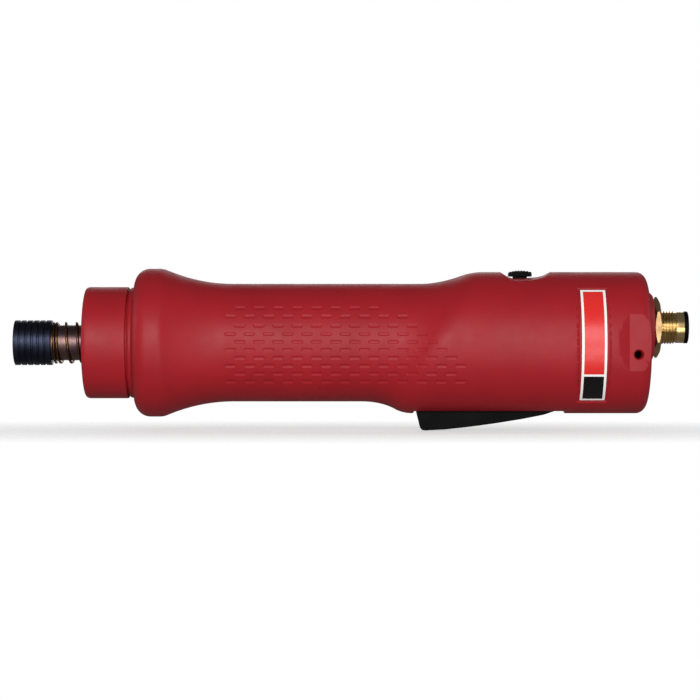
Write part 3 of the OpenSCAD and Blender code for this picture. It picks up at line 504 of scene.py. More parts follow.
def tint(name, description, default):
    return FloatVectorProperty(name=name, description=description, default=default,
                               size=3, min=0, max=1, subtype="COLOR_GAMMA")


def watts(name, description, default):
    return FloatProperty(name=name, description=description, default=default, min=0)


class DRIVER_PG_housing(bpy.types.PropertyGroup):
    handle_d: length("Handle", "Diameter of the handle", 42.5)
    bulge_d: length("Bulge", "Largest diameter of the front bulge", 53.4)
    body_d: length("Body", "Diameter of the rear body", 51.0)
    shoulder_angle: FloatProperty(name="Shoulder", description="Slant of the shoulder",
                                  default=math.radians(26), subtype="ANGLE", unit="ROTATION")
    seam_gap: length("Seam", "Half of the gap between the two housing halves", 0.02)
    dimple_len: length("Dimple length", "Length of one grip dimple", 4.1)
    dimple_w: length("Dimple width", "Width of one grip dimple", 1.3)
    dimple_depth: length("Dimple depth", "Depth of the grip dimples", 0.2)
    dimple_pitch: length("Dimple pitch", "Distance from one dimple to the next in a row", 6.75)


class DRIVER_PG_chuck(bpy.types.PropertyGroup):
    rings: IntProperty(name="Rings", description="Grip rings on the release sleeve",
                       default=6, min=4, max=7)
    groove_depth: length("Groove depth", "Depth of the grooves between the rings", 0.55)
    groove_w: length("Groove width", "Width of the grooves between the rings", 0.42)
    wire_d: length("Spring wire", "Wire diameter of the chuck spring", 1.0)
    open_turns: FloatProperty(name="Open turns", description="Open turns of the chuck spring",
                              default=2.93, min=1)


class DRIVER_PG_controls(bpy.types.PropertyGroup):
    lever_w: length("Lever width", "Width of the start lever", 10.0)
    lever_round: length("Lever rounding", "Rounding along the lever's edges", 1.1)
    knob_teeth: IntProperty(name="Knob teeth", description="Grip teeth on the slide switch",
                            default=8, min=5, max=10)


class DRIVER_PG_connector(bpy.types.PropertyGroup):
    thread_d: length("Thread", "Outside diameter of the connector's thread", 12.0)
    thread_depth: length("Thread depth", "Depth of the connector's thread", 0.6)


class DRIVER_PG_colours(bpy.types.PropertyGroup):
    red: tint("Housing red", "Colour of the housing and the adjusting collar", (0.586, 0.100, 0.132))
    black: tint("Control black", "Colour of the lever and the knob", (0.016, 0.017, 0.024))
    label_field: tint("Label field", "Colour of the label's long field", (0.84, 0.17, 0.16))
    label_end: tint("Label end", "Colour of the label's short field", (0.03, 0.03, 0.03))
    label_border: tint("Label border", "Colour of the label's border", (0.93, 0.93, 0.92))
    floor: tint("Floor", "Colour of the floor", (0.90, 0.90, 0.90))


class DRIVER_PG_stage(bpy.types.PropertyGroup):
    distance: length("Camera distance", "Distance from the camera to the tool axis", 900)
    view_width: length("View width", "Width that the camera takes in at the tool axis", 252)
    key_power: watts("Key light", "Power of the key light in watts", 12.5)
    fill_power: watts("Fill light", "Power of each side light in watts", 1.8)
    air: FloatProperty(name="Ambient", description="Strength of the even light from all round",
                       default=0.13, min=0)


# ---- Housing --------------------------------------------------------------------------------

# Heights of the rows of grip dimples, and the station at which each row ends
DIMPLE_ROWS = ((12.1, 134.0), (9.1, 141.0), (5.9, 144.8), (3.0, 147.6), (0.15, 151.1),
               (-2.65, 154.7), (-5.4, 157.8), (-8.2, 161.4), (-11.0, 157.8), (-13.8, 161.4))
DIMPLE_START = (79.75, 76.4)
BAND = 15.6
# The last dimples end before DIMPLES_END, and past PLAIN_X the skin has neither dimples nor slant
DIMPLES_END = 165
PLAIN_X = 190


def skin_outline(h):
    """Radius against station, with the shoulder as it would be without its slant."""
    handle_r, bulge_r, body_r = h.handle_d / MM / 2, h.bulge_d / MM / 2, h.body_d / MM / 2
    face_x = HOUSING_X + NECK_LEN
    round_r = 0.8 * (bulge_r - NECK_R)
    crease_x = face_x + round_r + 4.6
    taper, taper_len = math.radians(21.5), 3.0
    taper_r = bulge_r - taper_len * math.tan(taper)
    waist_r = (taper_r - handle_r) / (1 - math.cos(taper))
    waist_x = crease_x + taper_len + waist_r * math.sin(taper)
    turn = 2 * math.atan((body_r - handle_r) / SHOULDER_LEN)
    total = SHOULDER_LEN / math.sin(turn)
    hollow_r, crown_r = 0.66 * total, 0.34 * total

    def sharp_radius(x):
        r = np.full(x.shape, handle_r)
        neck = x < face_x
        r[neck] = NECK_R - 0.65 * np.clip(1 - (x[neck] - HOUSING_X) / 0.85, 0, 1) ** 2
        nose = (x >= face_x) & (x < face_x + round_r)
        r[nose] = bulge_r - round_r + np.sqrt(np.maximum(0, round_r ** 2 - (face_x + round_r - x[nose]) ** 2))
        r[(x >= face_x + round_r) & (x < crease_x)] = bulge_r
        slope = (x >= crease_x) & (x < crease_x + taper_len)
        r[slope] = bulge_r - (x[slope] - crease_x) * math.tan(taper)
        waist = (x >= crease_x + taper_len) & (x < waist_x)
        r[waist] = handle_r + waist_r - np.sqrt(waist_r ** 2 - (waist_x - x[waist]) ** 2)
        rise = x - SHOULDER_X
        low = (rise > 0) & (rise < hollow_r * math.sin(turn))
        r[low] = handle_r + hollow_r - np.sqrt(hollow_r ** 2 - rise[low] ** 2)
        high = (rise >= hollow_r * math.sin(turn)) & (rise < SHOULDER_LEN)
        r[high] = body_r - crown_r + np.sqrt(crown_r ** 2 - (SHOULDER_LEN - rise[high]) ** 2)
        r[rise >= SHOULDER_LEN] = body_r
        tail = HOUSING_END - REAR_ROUND
        rear = x > tail
        r[rear] = body_r - REAR_ROUND + np.sqrt(np.maximum(0, REAR_ROUND ** 2 - (x[rear] - tail) ** 2))
        return r - INSET

    def radius(x):
        """The outline with its crease eased over a millimetre to each side."""
        x = np.asarray(x, float)
        eased = sum(sharp_radius(x + d) for d in (-1.0, -0.5, 0.0, 0.5, 1.0)) / 5
        return np.where(np.abs(x - crease_x) < 1.2, eased, sharp_radius(x))

    return radius, dict(face_x=face_x, round_r=round_r, crease_x=crease_x)


def skin_stations(h, sizes):
    """Stations of the skin's rings: close together at roundings, creases and dimple ends."""
    bends = [FRONT_X + 0.85 * t for t in (0, 0.15, 0.4, 0.7, 1)]
    bends += [sizes["face_x"] - 0.001, sizes["face_x"]]
    bends += [sizes["face_x"] + sizes["round_r"] * (1 - math.cos(math.radians(a))) for a in range(4, 91, 4)]
    bends += [sizes["crease_x"] + 0.2 * d for d in range(-8, 9)]
    pitch, long_way = h.dimple_pitch / MM, h.dimple_len / MM
    ends = (-0.12, 0, 0.1, 0.22, 0.36, 0.52, 0.7)
    for start in DIMPLE_START:
        for n in range(int((DIMPLES_END - start) / pitch)):
            bends += [start + n * pitch + e for e in ends] + [start + n * pitch + long_way - e for e in ends]
    rear_len = REAR_X - HOUSING_END + REAR_ROUND
    bends += [HOUSING_END - REAR_ROUND + rear_len * math.sin(math.radians(a)) for a in range(0, 91, 6)]
    xs = sorted(bends)
    kept = [xs[0]]
    for x in xs[1:]:
        if x - kept[-1] >= 0.07 or x in (sizes["face_x"], xs[-1]):
            kept.append(x)
    filled = [kept[0]]
    for x in kept[1:]:
        widest = 0.75 if x < PLAIN_X else 1.5
        parts = max(1, math.ceil((x - filled[-1]) / widest))
        filled += [filled[-1] + (x - filled[-1]) * (i + 1) / parts for i in range(parts)]
    return np.array(filled)


def dimple_depth(h, x, z):
    """Depth of the grip dimples at a station and height."""
    depth = np.zeros(np.broadcast(x, z).shape)
    long_way, half_w, pitch = h.dimple_len / MM, h.dimple_w / MM / 2, h.dimple_pitch / MM
    for i, (row_z, row_end) in enumerate(DIMPLE_ROWS):
        start = DIMPLE_START[i % 2]
        last = round((row_end - start - long_way) / pitch)
        n = np.clip(np.floor((x - start + (pitch - long_way) / 2) / pitch), 0, last)
        middle = start + n * pitch + long_way / 2
        along = np.maximum(0, np.abs(x - middle) - (long_way / 2 - half_w))
        inside = half_w - np.hypot(along, z - row_z)
        t = np.clip(inside / 0.3, 0, 1)
        depth = np.maximum(depth, h.dimple_depth / MM * t * t * (3 - 2 * t))
    return depth


def housing_skin(h, side):
    """The outside of one housing half as a closed solid with a flat parting face."""
    radius, sizes = skin_outline(h)
    slope = math.tan(h.shoulder_angle)
    xs = skin_stations(h, sizes)
    offsets = (-0.85, -0.7, -0.56, -0.42, -0.22, 0, 0.22, 0.42, 0.56, 0.7, 0.85)
    between = [(a[0] + b[0]) / 2 for a, b in zip(DIMPLE_ROWS, DIMPLE_ROWS[1:])]
    heights = sorted([z + o for z, _ in DIMPLE_ROWS for o in offsets]
                     + between + [BAND, 14.6, 13.7, -BAND, -15.0])
    seam = h.seam_gap / MM
    rims = (seam, seam + 0.07, seam + 0.18, seam + 0.4)
    spread = 17

    def slanted(x, z):
        return radius(x - slope * z) if 90 < x < PLAIN_X else radius(np.full(np.shape(z), x))

    rows = []
    for x in xs:
        z = np.array(heights)
        r = slanted(x, z)
        band = np.column_stack([np.full(len(z), x), np.sqrt(r ** 2 - z ** 2), z])
        parts = {}
        for sign in (-1, 1):
            edge = float(slanted(x, np.array([sign * BAND]))[0])
            widest = math.acos(BAND / edge)
            a = np.concatenate([[w / edge for w in rims], widest * np.linspace(0, 1, spread + 2)[1:-1]])
            a = np.unique(np.round(a, 9))
            a = a[a < widest * 0.999]
            rr = np.full(len(a), edge)
            for _ in range(12):
                rr = slanted(x, sign * rr * np.cos(a))
            y = rr * np.sin(a)
            groove = 0.17 * np.exp(-((y - seam) / 0.11) ** 2)
            parts[sign] = np.column_stack([np.full(len(a), x), y, sign * (rr * np.cos(a) - groove)])
        rows.append([parts[-1], band, parts[1][::-1]])
    wanted = max(len(r[0]) for r in rows)
    grid = []
    for low, band, high in rows:
        if len(low) != wanted or len(high) != wanted:
            raise RuntimeError("the skin's rings don't have the same number of points")
        grid.append(np.vstack([low, band, high]))
    grid = np.array(grid)
    x, y, z = grid[..., 0], grid[..., 1], grid[..., 2]
    depth = dimple_depth(h, x, z)
    depth[np.abs(z) > BAND - 0.3] = 0
    away = np.hypot(y, z)
    grid[..., 1] = np.maximum(y * (1 - depth / away), seam)
    grid[..., 2] = z * (1 - depth / away)
    grid[..., 1] *= side
    n, m = grid.shape[:2]
    points = grid.reshape(-1, 3).tolist()
    faces = [(i * m + j, i * m + j + 1, (i + 1) * m + j + 1, (i + 1) * m + j)
             for i in range(n - 1) for j in range(m - 1)]
    faces += [tuple(range(m)), tuple(reversed(range((n - 1) * m, n * m)))]
    faces.append(tuple([i * m for i in range(n)] + [i * m + m - 1 for i in reversed(range(n))]))
    return new_object("skin", points, faces)


def solid_of(node):
    """A welded copy of a CAD node's solid, to cut a dressed piece from."""
    obj = bpy.data.objects.new("solid", frame["nodes"][node].data.copy())
    bpy.context.scene.collection.objects.link(obj)
    tidy_mesh(obj, 1e-6)
    return obj


def housing_half(h, side):
    """One housing half: the dimpled skin, cut to the CAD half's hollow, bosses, pocket and holes."""
    shell = housing_skin(h, side)
    seam = h.seam_gap / MM
    foot_r, top_r, boss_top = 14.4, 11.5, BOSS_END - 0.03
    boss = turned("boss", soften([(0, HOUSING_END - 1), (foot_r, HOUSING_END - 1), (foot_r, REAR_X),
                                  (foot_r - 0.15, HOUSING_END + 0.05, 0.3), (top_r, boss_top, 0.5),
                                  (0, boss_top)]), 128, CONNECTOR_Z)
    low, high = (seam, 60) if side > 0 else (-60, -seam)
    keep_inside(boss, block("side", HOUSING_X, BOSS_END + 1, low, high, -60, 60))
    add(shell, boss)
    keep_inside(shell, solid_of("housing_right" if side > 0 else "housing_left"))
    if side < 0:
        floor_r, near, far = 25.12, LABEL_X - RECESS_MARGIN, LABEL_X + LABEL_W + RECESS_MARGIN
        recess = [(floor_r, near), (27, near), (27, far), (floor_r, far)]
        cut(shell, turned("recess", recess, 96, sweep=104.4, start=214.4))
    hole_x, hole_z = HANGER
    depth = 5.2 if side < 0 else 3.1
    hole_r, mouth_r, flat_y = 1.45, 1.95, 22.7
    rim = turned("rim", [(0, -depth), (hole_r, -depth), (hole_r, 0.25), (mouth_r, 0.75), (mouth_r, 2.0),
                         (0, 2.0)], 40)
    for v in rim.data.vertices:
        out, across, up = v.co.x / MM, v.co.y / MM, v.co.z / MM
        v.co = ((hole_x + across) * MM, side * (flat_y + out) * MM, (hole_z + up) * MM)
    tidy_mesh(rim)
    return cut(shell, rim)


def panel_grid(name, angles, stations, inner, outer, slot_of):
    """A curved sheet about the tool axis, facing -Y, with a material slot for each cell."""
    points, faces, slots = [], [], []
    n, m = len(angles), len(stations)
    for r in (outer, inner):
        for a in angles:
            t = math.radians(a)
            points += [(x, -r * math.cos(t), r * math.sin(t)) for x in stations]
    for i in range(n - 1):
        for j in range(m - 1):
            k = i * m + j
            cell = slot_of((angles[i] + angles[i + 1]) / 2, (stations[j] + stations[j + 1]) / 2)
            faces.append((k, k + 1, k + m + 1, k + m))
            slots.append(cell)
            faces.append(tuple(n * m + q for q in (k, k + m, k + m + 1, k + 1)))
            slots.append(0)
    rim = [j for j in range(m)] + [i * m + m - 1 for i in range(1, n)]
    rim += [(n - 1) * m + j for j in reversed(range(m - 1))] + [i * m for i in reversed(range(1, n - 1))]
    for a, b in zip(rim, rim[1:] + rim[:1]):
        faces.append((a, b, n * m + b, n * m + a))
        slots.append(0)
    obj = new_object(name, points, faces)
    if len(obj.data.polygons) != len(slots):
        raise RuntimeError(f"{name}: cells were lost")
    for polygon, slot in zip(obj.data.polygons, slots):
        polygon.material_index = slot
    return obj


def build_label(colours):
    """The curved film: a bare long field and a bare short field inside a white border."""
    up, down, divider = 46.7, -53.4, -27.2
    edge, half_line = math.degrees(LABEL_BORDER / LABEL_R), math.degrees(0.42 / LABEL_R)
    lines = [down, down + edge, divider - half_line, divider + half_line, up - edge, up]
    angles = [down]
    for a in lines[1:]:
        parts = max(1, math.ceil((a - angles[-1]) / 2.2))
        angles += [angles[-1] + (a - angles[-1]) * (k + 1) / parts for k in range(parts)]
    ends = (LABEL_X, LABEL_X + LABEL_W)
    inner = (ends[0] + LABEL_BORDER, ends[1] - LABEL_BORDER)
    stations = [ends[0], inner[0], (ends[0] + ends[1]) / 2, inner[1], ends[1]]

    def field(a, x):
        if not (inner[0] < x < inner[1] and down + edge < a < up - edge):
            return 0
        if abs(a - divider) < half_line:
            return 0
        return 1 if a > divider else 2

    obj = panel_grid("label", angles, stations, 25.21, 25.44, field)
    for ink in (finish_for("printed_label"),
                film_finish("label_field", tuple(colours.label_field)),
                film_finish("label_end", tuple(colours.label_end))):
        obj.data.materials.append(ink)
    return obj


# ---- Chuck and springs ----------------------------------------------------------------------

def coil(name, length, r, wire, head, opened, tail, phase=0.0, sides=14, steps=40):
    """A wire coil standing on z = 0, with closed end turns."""
    tight = 1.06 * wire
    pitch = (length - wire - (head + tail) * tight) / opened
    turns = head + opened + tail
    count = math.ceil(turns * steps)
    rise = []
    for t in (turns * i / count for i in range(count + 1)):
        spread = pitch * min(max(t - head, 0), opened)
        rise.append(wire / 2 + tight * min(t, head) + spread + tight * max(0, t - head - opened))
    points, faces = [], []
    for i in range(count + 1):
        a = math.radians(phase) + 2 * math.pi * turns * i / count
        slope = (rise[min(i + 1, count)] - rise[max(i - 1, 0)]) / (2 * math.pi * r * turns / count * 2)
        thin = 1 - 0.35 * max(0, 1 - min(i, count - i) / (0.3 * steps))
        for k in range(sides):
            b = 2 * math.pi * k / sides
            out, up = wire / 2 * math.cos(b), wire / 2 * math.sin(b) * thin
            back = -up * slope
            points.append(((r + out) * math.cos(a) - back * math.sin(a),
                           (r + out) * math.sin(a) + back * math.cos(a), rise[i] + up))
    for i in range(count):
        faces += wall(i, i + 1, sides)
    faces += [tuple(reversed(range(sides))), tuple(range(count * sides, (count + 1) * sides))]
    return new_object(name, points, faces)


def lay_along_x(obj, start):
    """Turns a piece that stands on z = 0 so that it runs along X from a station."""
    for v in obj.data.vertices:
        x, y, z = v.co
        v.co = (z + start * MM, y, -x)
    tidy_mesh(obj)
    return obj


def build_collar():
    """The red adjusting collar: a cap with rounded front edge and a snap groove at its back."""
    cap_r, groove_r, skirt_r, bore_r, nose_r = 20.03, 18.62, 20.58, 17.32, 8.42
    front, groove_x, skirt_x, end, inside = 25.63, 41.17, 44.07, 45.83, 28.08
    outline = soften([(9.0, front), (cap_r, front, 2.1), (cap_r, groove_x, 0.5), (groove_r, groove_x),
                      (groove_r, skirt_x), (skirt_r, skirt_x), (skirt_r, end), (bore_r, end),
                      (bore_r, inside), (nose_r, inside), (nose_r, front, 0.6)], 8)
    return turned("adjusting_collar", outline, 160)


def build_sleeve(c):
    """The release sleeve: rounded grip rings with grooves between them."""
    r, bore_r, relief_r, first, last = 8.08, 6.42, 7.13, 0.12, 13.58
    pitch = (last - first) / c.rings
    depth, gap = c.groove_depth / MM, c.groove_w / MM
    outline = [(7.17, first)]
    for i in range(c.rings):
        a = first + i * pitch + (gap / 2 if i else 0)
        b = first + (i + 1) * pitch - (gap / 2 if i < c.rings - 1 else 0)
        outline += [(r - depth, a), (r - 0.22, a + 0.02), (r - 0.06, a + 0.1), (r, a + 0.28),
                    (r, b - 0.28), (r - 0.06, b - 0.1), (r - 0.22, b - 0.02), (r - depth, b)]
    outline += [(bore_r, last), (bore_r, 4.63), (relief_r, 4.63), (relief_r, 2.37), (bore_r, 2.37),
                (bore_r, 1.93), (7.17, 1.93)]
    return turned("release_sleeve", outline, 128)


def build_springs(c):
    """The chuck, clutch and lever springs, each in its place."""
    chuck_x, clutch_x, lever_z = 13.67, 34.07, 28.38
    wire = c.wire_d / MM
    chuck = coil("chuck_coil", 14.56, 7.1, wire, head=1.42, opened=c.open_turns, tail=0.75, phase=122)
    clutch = coil("clutch_coil", 15.86, 14.4, 1.8, head=0.8, opened=3.6, tail=0.8, sides=12, steps=56)
    lever = coil("lever_coil", 12.26, 2.5, 0.6, head=1, opened=5, tail=1, sides=10, steps=24)
    chuck, clutch = lay_along_x(chuck, chuck_x), lay_along_x(clutch, clutch_x)
    for v in lever.data.vertices:
        v.co.x += LEVER_SPRING_X * MM
        v.co.z -= lever_z * MM
    return chuck, clutch, lever


# ---- Controls -------------------------------------------------------------------------------

# The lever's underside, as shares of its reach and of its rise
LEVER_BACK = ((0.04, 0.043), (0.054, 0.0), (0.209, 0.05), (0.382, 0.186), (0.562, 0.357), (0.757, 0.579),
              (0.916, 0.8))


def build_lever(c):
    """The start lever: rounded paddle with a hollow, an eye, a push rib and a spring spigot."""
    front, top, low, rise = POCKET_X + 0.7, -22.8, LEVER_LOW, 7.0
    gap, hollow_w, eye_r, bore_r = 0.02, 3.6, 2.98, 1.56
    wide = c.lever_w / MM / 2 - gap
    reach = PIVOT_X - front
    back = [(front + gap + s * reach, low + gap + t * rise) for s, t in LEVER_BACK]
    corners = [(front + gap, top - gap), (front + 0.07, POCKET_Z)]
    corners += [(front + 0.032 * reach, low + 0.129 * rise, 1.0)]
    corners += [(*back[0], 0.5), (*back[1], 1.5)] + [(*p, 9) for p in back[2:]]
    corners += [(PIVOT_X, POCKET_Z + 0.03), (PIVOT_X, top - gap)]
    obj = flat_plate("start_lever", soften(corners, 6), -wide, wide)
    round_edges(obj, c.lever_round / MM, 60, 4)
    hollow = [(front + 2.4, top + 1), (front + 3.4, low + 2.0), (front + 19, low + 3.0),
              (PIVOT_X - 8, POCKET_Z + 0.2), (PIVOT_X - 7, top + 1)]
    cut(obj, flat_plate("hollow", hollow, -hollow_w, hollow_w))
    add(obj, rod("eye", (PIVOT_X, PIVOT_Z), eye_r, -wide, wide, chamfer=0.3))
    cut(obj, rod("bore", (PIVOT_X, PIVOT_Z), bore_r, -8, 8))
    plunger_x = PIVOT_X - 14
    add(obj, block("rib", plunger_x - 1.48, plunger_x + 1.48, -3.68, 3.68, low + 4.52, -18.54))
    add(obj, rod("spigot", (LEVER_SPRING_X, 0), 1.58, low + 1.5, -27.02, "z", 32, 0.25))
    return obj


def build_knob(c):
    """The slide switch's knob: a domed pad with grip teeth, and its neck."""
    low_x, high_x = (corner.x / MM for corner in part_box("slide_knob"))
    low_x, high_x, teeth = low_x + 0.03, high_x - 0.03, c.knob_teeth
    middle, half = (low_x + high_x) / 2, (high_x - low_x) / 2
    foot_z, crest_z, half_w = 23.83, 25.97, 3.47
    outline = [(low_x, foot_z)]
    pitch = (high_x - low_x) / teeth
    for i in range(teeth):
        for share, dip in ((0.04, 0.42), (0.24, 0.05), (0.5, 0.0), (0.76, 0.05), (0.96, 0.42)):
            x = low_x + (i + share) * pitch
            outline.append((x, crest_z - 0.7 * ((x - middle) / half) ** 2 - dip))
    outline.append((high_x, foot_z))
    pad = flat_plate("slide_knob", outline, -half_w, half_w)
    crown = rod("crown", (0, 12.0), 13.96, low_x - 1, high_x + 1, "x", 160)
    keep_inside(pad, crown)
    round_edges(pad, 0.12, 50, 2)
    add(pad, block("neck", middle - 2.48, middle + 2.48, -2.18, 2.18, 17.53, 24.2))
    return pad


# ---- Connector ------------------------------------------------------------------------------

def build_connector(c):
    """The connector's threaded shell, with a real helical thread, and its flange."""
    crest_r, depth = c.thread_d / MM / 2 - 0.02, c.thread_depth / MM
    root = crest_r - depth
    first, last, nose = BOSS_END + 1.63, BOSS_END + 8.1, BOSS_END + 8.3
    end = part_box("connector_shell")[1].x / MM - 0.02
    flange_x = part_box("connector_shell")[0].x / MM + 0.02
    flange_r, shank_r, nose_r, bore_r = 8.48, 5.78, 5.63, 4.92
    steps = 96
    stations = list(np.arange(first, last, 0.0833))
    fixed = [(flange_r, flange_x), (flange_r, flange_x + 2.45), (shank_r, flange_x + 2.46),
             (shank_r, first - 0.45), (root, first - 0.2)]
    closing = [(root, last + 0.05), (root, nose), (nose_r, nose + 0.15), (nose_r, end - 0.25), (5.42, end),
               (bore_r, end), (bore_r, flange_x)]
    points, faces = [], []
    n = len(fixed) + len(stations) + len(closing)
    for i in range(steps):
        a = 2 * math.pi * i / steps
        ring = list(fixed)
        for x in stations:
            turn = ((x - first) / THREAD_PITCH - i / steps) % 1.0
            crest = min(1.0, max(0.0, 1.3 - abs(turn - 0.5) * 3.1))
            fade = min(1.0, (x - first) / 0.7, (last - x) / 0.7)
            ring.append((root + depth * crest * max(0.0, fade), x))
        ring += closing
        points += [(x, r * math.sin(a), CONNECTOR_Z + r * math.cos(a)) for r, x in ring]
    for i in range(steps):
        faces += wall(i, (i + 1) % steps, n)
    return new_object("connector_shell", points, faces)


# ---- Operators ------------------------------------------------------------------------------

class DRIVER_OT_housing(bpy.types.Operator):
    """Builds both housing halves with their grip dimples, seam and openings"""
    bl_idname = "driver.housing"
    bl_label = "Housing halves"

    def execute(self, context):
        h = context.scene.driver_housing
        red = finish_for("red_plastic")
        halves = ((-1, "housing_shell_left", "housing_left"), (1, "housing_shell_right", "housing_right"))
        for side, name, node in halves:
            place(housing_half(h, side), name, "tool_body", [node], red, 32)
        return {"FINISHED"}


class DRIVER_OT_label(bpy.types.Operator):
    """Builds the bare two-field label in its recess"""
    bl_idname = "driver.label"
    bl_label = "Label"

    def execute(self, context):
        label = build_label(context.scene.driver_colours)
        place(label, "label_film", "tool_body", ["side_label"], None)
        return {"FINISHED"}


class DRIVER_OT_chuck(bpy.types.Operator):
    """Builds the adjusting collar and the ringed release sleeve"""
    bl_idname = "driver.chuck"
    bl_label = "Collar and sleeve"

    def execute(self, context):
        collar, sleeve = build_collar(), build_sleeve(context.scene.driver_chuck)
        red, black = finish_for("red_plastic"), finish_for("black_steel")
        place(collar, "collar_cap", "collar", ["adjusting_collar"], red, 30)
        place(sleeve, "release_sleeve", "sleeve", ["chuck_sleeve"], black, 50)
        return {"FINISHED"}


class DRIVER_OT_springs(bpy.types.Operator):
    """Builds the chuck, clutch and lever springs as round wire"""
    bl_idname = "driver.springs"
    bl_label = "Springs"

    def execute(self, context):
        chuck, clutch, lever = build_springs(context.scene.driver_chuck)
        bronze, steel = finish_for("bronzed_spring"), finish_for("spring_steel")
        place(chuck, "chuck_coil", "spindle", ["chuck_spring"], bronze, 60)
        place(clutch, "clutch_coil", "tool_body", ["clutch_spring"], steel, 60)
        place(lever, "lever_coil", "tool_body", ["lever_spring"], steel, 60)
        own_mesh(chuck)
        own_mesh(clutch)
        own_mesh(lever)
        return {"FINISHED"}


class DRIVER_OT_controls(bpy.types.Operator):
    """Builds the start lever and the slide switch's knob"""
    bl_idname = "driver.controls"
    bl_label = "Controls"

    def execute(self, context):
        c = context.scene.driver_controls
        black = finish_for("black_plastic")
        place(build_lever(c), "start_paddle", "lever", ["start_lever"], black, 35)
        place(build_knob(c), "knob_pad", "knob", ["slide_knob"], black, 35)
        return {"FINISHED"}


class DRIVER_OT_connector(bpy.types.Operator):
    """Builds the connector's threaded shell"""
    bl_idname = "driver.connector"
    bl_label = "Connector"

    def execute(self, context):
        shell = build_connector(context.scene.driver_connector)
        gilt = finish_for("gilt_brass")
        place(shell, "threaded_shell", "tool_body", ["connector_shell"], gilt, 50)
        return {"FINISHED"}


class DRIVER_OT_frame(bpy.types.Operator):
    """Gives every CAD node the finish of its record slot, and the nut a darker gilt brass as painted shade"""
    bl_idname = "driver.frame"
    bl_label = "Frame finishes"

    def execute(self, context):
        for part in frame["record"]["subparts"]:
            obj = frame["nodes"][part["node"]]
            obj.data.materials.clear()
            obj.data.materials.append(finish_for(part["material_slot"]))
        nut = frame["nodes"]["connector_nut"].data.materials
        nut.clear()
        # The nut's gilt is a darker copy of the shell's: painted shade that tempers the glare of its flat facing
        # the key light
        nut_shade_tones = [(0.60, 0.47, 0.33), (0.74, 0.61, 0.46)]
        nut.append(turned_metal("gilt_nut_painted_shade", nut_shade_tones, 0.46, 0.003, cloud_mm=3))
        return {"FINISHED"}


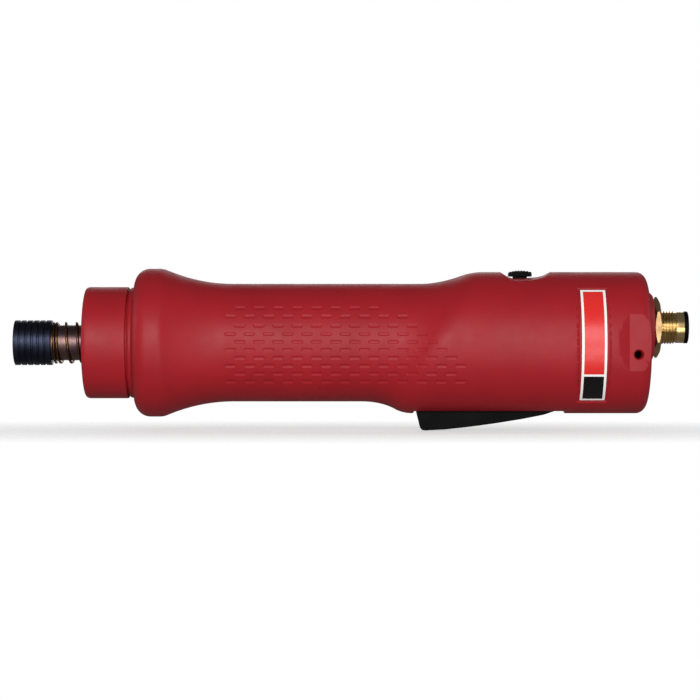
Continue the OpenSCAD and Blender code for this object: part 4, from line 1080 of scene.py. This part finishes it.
class DRIVER_OT_stage(bpy.types.Operator):
    """Sets the pale floor with a painted shadow pool under the tool, the soft lights and the camera at the
    photograph's angle
    """
    bl_idname = "driver.stage"
    bl_label = "Stage"

    def execute(self, context):
        scene = context.scene
        stage = scene.driver_stage
        low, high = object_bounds()
        middle = (low[0] + high[0]) / 2
        floor_z = low[2] - 0.0002
        mesh = bpy.data.meshes.new("floor")
        corners = [(x, y, floor_z) for x, y in ((-3, -3), (3, -3), (3, 3), (-3, 3))]
        mesh.from_pydata(corners, [], [(0, 1, 2, 3)])
        floor = bpy.data.objects.new("floor", mesh)
        scene.collection.objects.link(floor)
        f = Finish("pale_floor")
        f.shader.inputs["Specular IOR Level"].default_value = 0.2
        grey = tuple(scene.driver_colours.floor)
        f.colour(f.blended(f.spread(f.noise(30, 3), 0.3, 0.7), [shaded(grey, 0.985), grey]))
        f.roughness(f.spread(f.noise(4, 3), 0.3, 0.7, 0.75, 0.85))
        apart = f.nodes.new("ShaderNodeVectorMath")
        apart.operation = "DISTANCE"
        apart.inputs[1].default_value = (middle * 0.4, 0.0, 0.0)
        f.links.new(f.stretched((0.4, 1, 0)), apart.inputs[0])
        # The floor fades from a light grey pool under the tool to nothing: a painted soft shadow shaped by
        # distance from the tool's middle, with the lamps' real shadow inside it
        near, far, shadow_veil = 0.03, 0.13, 0.42
        f.links.new(f.spread(apart.outputs["Value"], near, far, shadow_veil, 0.0), f.shader.inputs["Alpha"])
        mesh.materials.append(f.material)
        floor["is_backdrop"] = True
        world = bpy.data.worlds.new("studio")
        scene.world = world
        world.use_nodes = True
        nodes, links = world.node_tree.nodes, world.node_tree.links
        path = nodes.new("ShaderNodeLightPath")
        mix = nodes.new("ShaderNodeMix")
        mix.data_type = "RGBA"
        links.new(path.outputs["Is Camera Ray"], mix.inputs["Factor"])
        mix.inputs["A"].default_value = (stage.air, stage.air, stage.air, 1)
        mix.inputs["B"].default_value = (1, 1, 1, 1)
        links.new(mix.outputs["Result"], nodes["Background"].inputs["Color"])
        # Each lamp's place, its side length and its power; all point at the middle of the tool
        target, fill = (middle, 0, 0), stage.fill_power
        for name, place_at, size, power in (
                ("key", (middle - 0.1, -1.15, 0.26), 0.6, stage.key_power),
                ("low", (middle + 0.2, -1.1, -0.35), 0.5, 2.2 * fill),
                ("left_side", (middle - 1.0, 0.05, 0.2), 0.5, fill),
                ("right_side", (middle + 1.0, 0.05, 0.2), 0.5, fill),
                ("behind", (middle, 1.3, 0.35), 0.8, 2.5 * fill)):
            data = bpy.data.lights.new(name, "AREA")
            data.shape, data.size, data.energy = "SQUARE", size, power
            lamp = bpy.data.objects.new(name, data)
            scene.collection.objects.link(lamp)
            lamp.location = place_at
            lamp.rotation_euler = (Vector(target) - Vector(place_at)).to_track_quat("-Z", "Y").to_euler()
        data = bpy.data.cameras.new("camera")
        data.sensor_width = 36
        data.lens = 36 * stage.distance / stage.view_width
        camera = bpy.data.objects.new("camera", data)
        scene.collection.objects.link(camera)
        camera.location = (0.1206, -stage.distance, -0.00265)
        camera.rotation_euler = (math.radians(90), 0, 0)
        scene.camera = camera
        scene.view_settings.view_transform = "Standard"
        return {"FINISHED"}


class DRIVER_PT_panel(bpy.types.Panel):
    """Lists the pieces and their sizes"""
    bl_idname = "DRIVER_PT_panel"
    bl_label = "Torque driver"
    bl_space_type = "VIEW_3D"
    bl_region_type = "UI"
    bl_category = "Torque driver"

    def draw(self, context):
        for operator in OPERATORS:
            self.layout.operator(operator.bl_idname)
        for name, group in GROUPS.items():
            box = self.layout.box()
            box.label(text=name.replace("driver_", "").capitalize())
            for field in group.__annotations__:
                box.prop(getattr(context.scene, name), field)


GROUPS = {
    "driver_housing": DRIVER_PG_housing,
    "driver_chuck": DRIVER_PG_chuck,
    "driver_controls": DRIVER_PG_controls,
    "driver_connector": DRIVER_PG_connector,
    "driver_colours": DRIVER_PG_colours,
    "driver_stage": DRIVER_PG_stage,
}
OPERATORS = (DRIVER_OT_frame, DRIVER_OT_housing, DRIVER_OT_label, DRIVER_OT_chuck, DRIVER_OT_springs,
             DRIVER_OT_controls, DRIVER_OT_connector, DRIVER_OT_stage)


def register():
    for cls in (*GROUPS.values(), *OPERATORS, DRIVER_PT_panel):
        bpy.utils.register_class(cls)
    for name, group in GROUPS.items():
        setattr(bpy.types.Scene, name, PointerProperty(type=group))


def unregister():
    for name in GROUPS:
        delattr(bpy.types.Scene, name)
    for cls in reversed((*GROUPS.values(), *OPERATORS, DRIVER_PT_panel)):
        bpy.utils.unregister_class(cls)


def main():
    register()
    for operator in OPERATORS:
        group, name = operator.bl_idname.split(".")
        getattr(getattr(bpy.ops, group), name)()


if __name__ == "__main__":
    main()
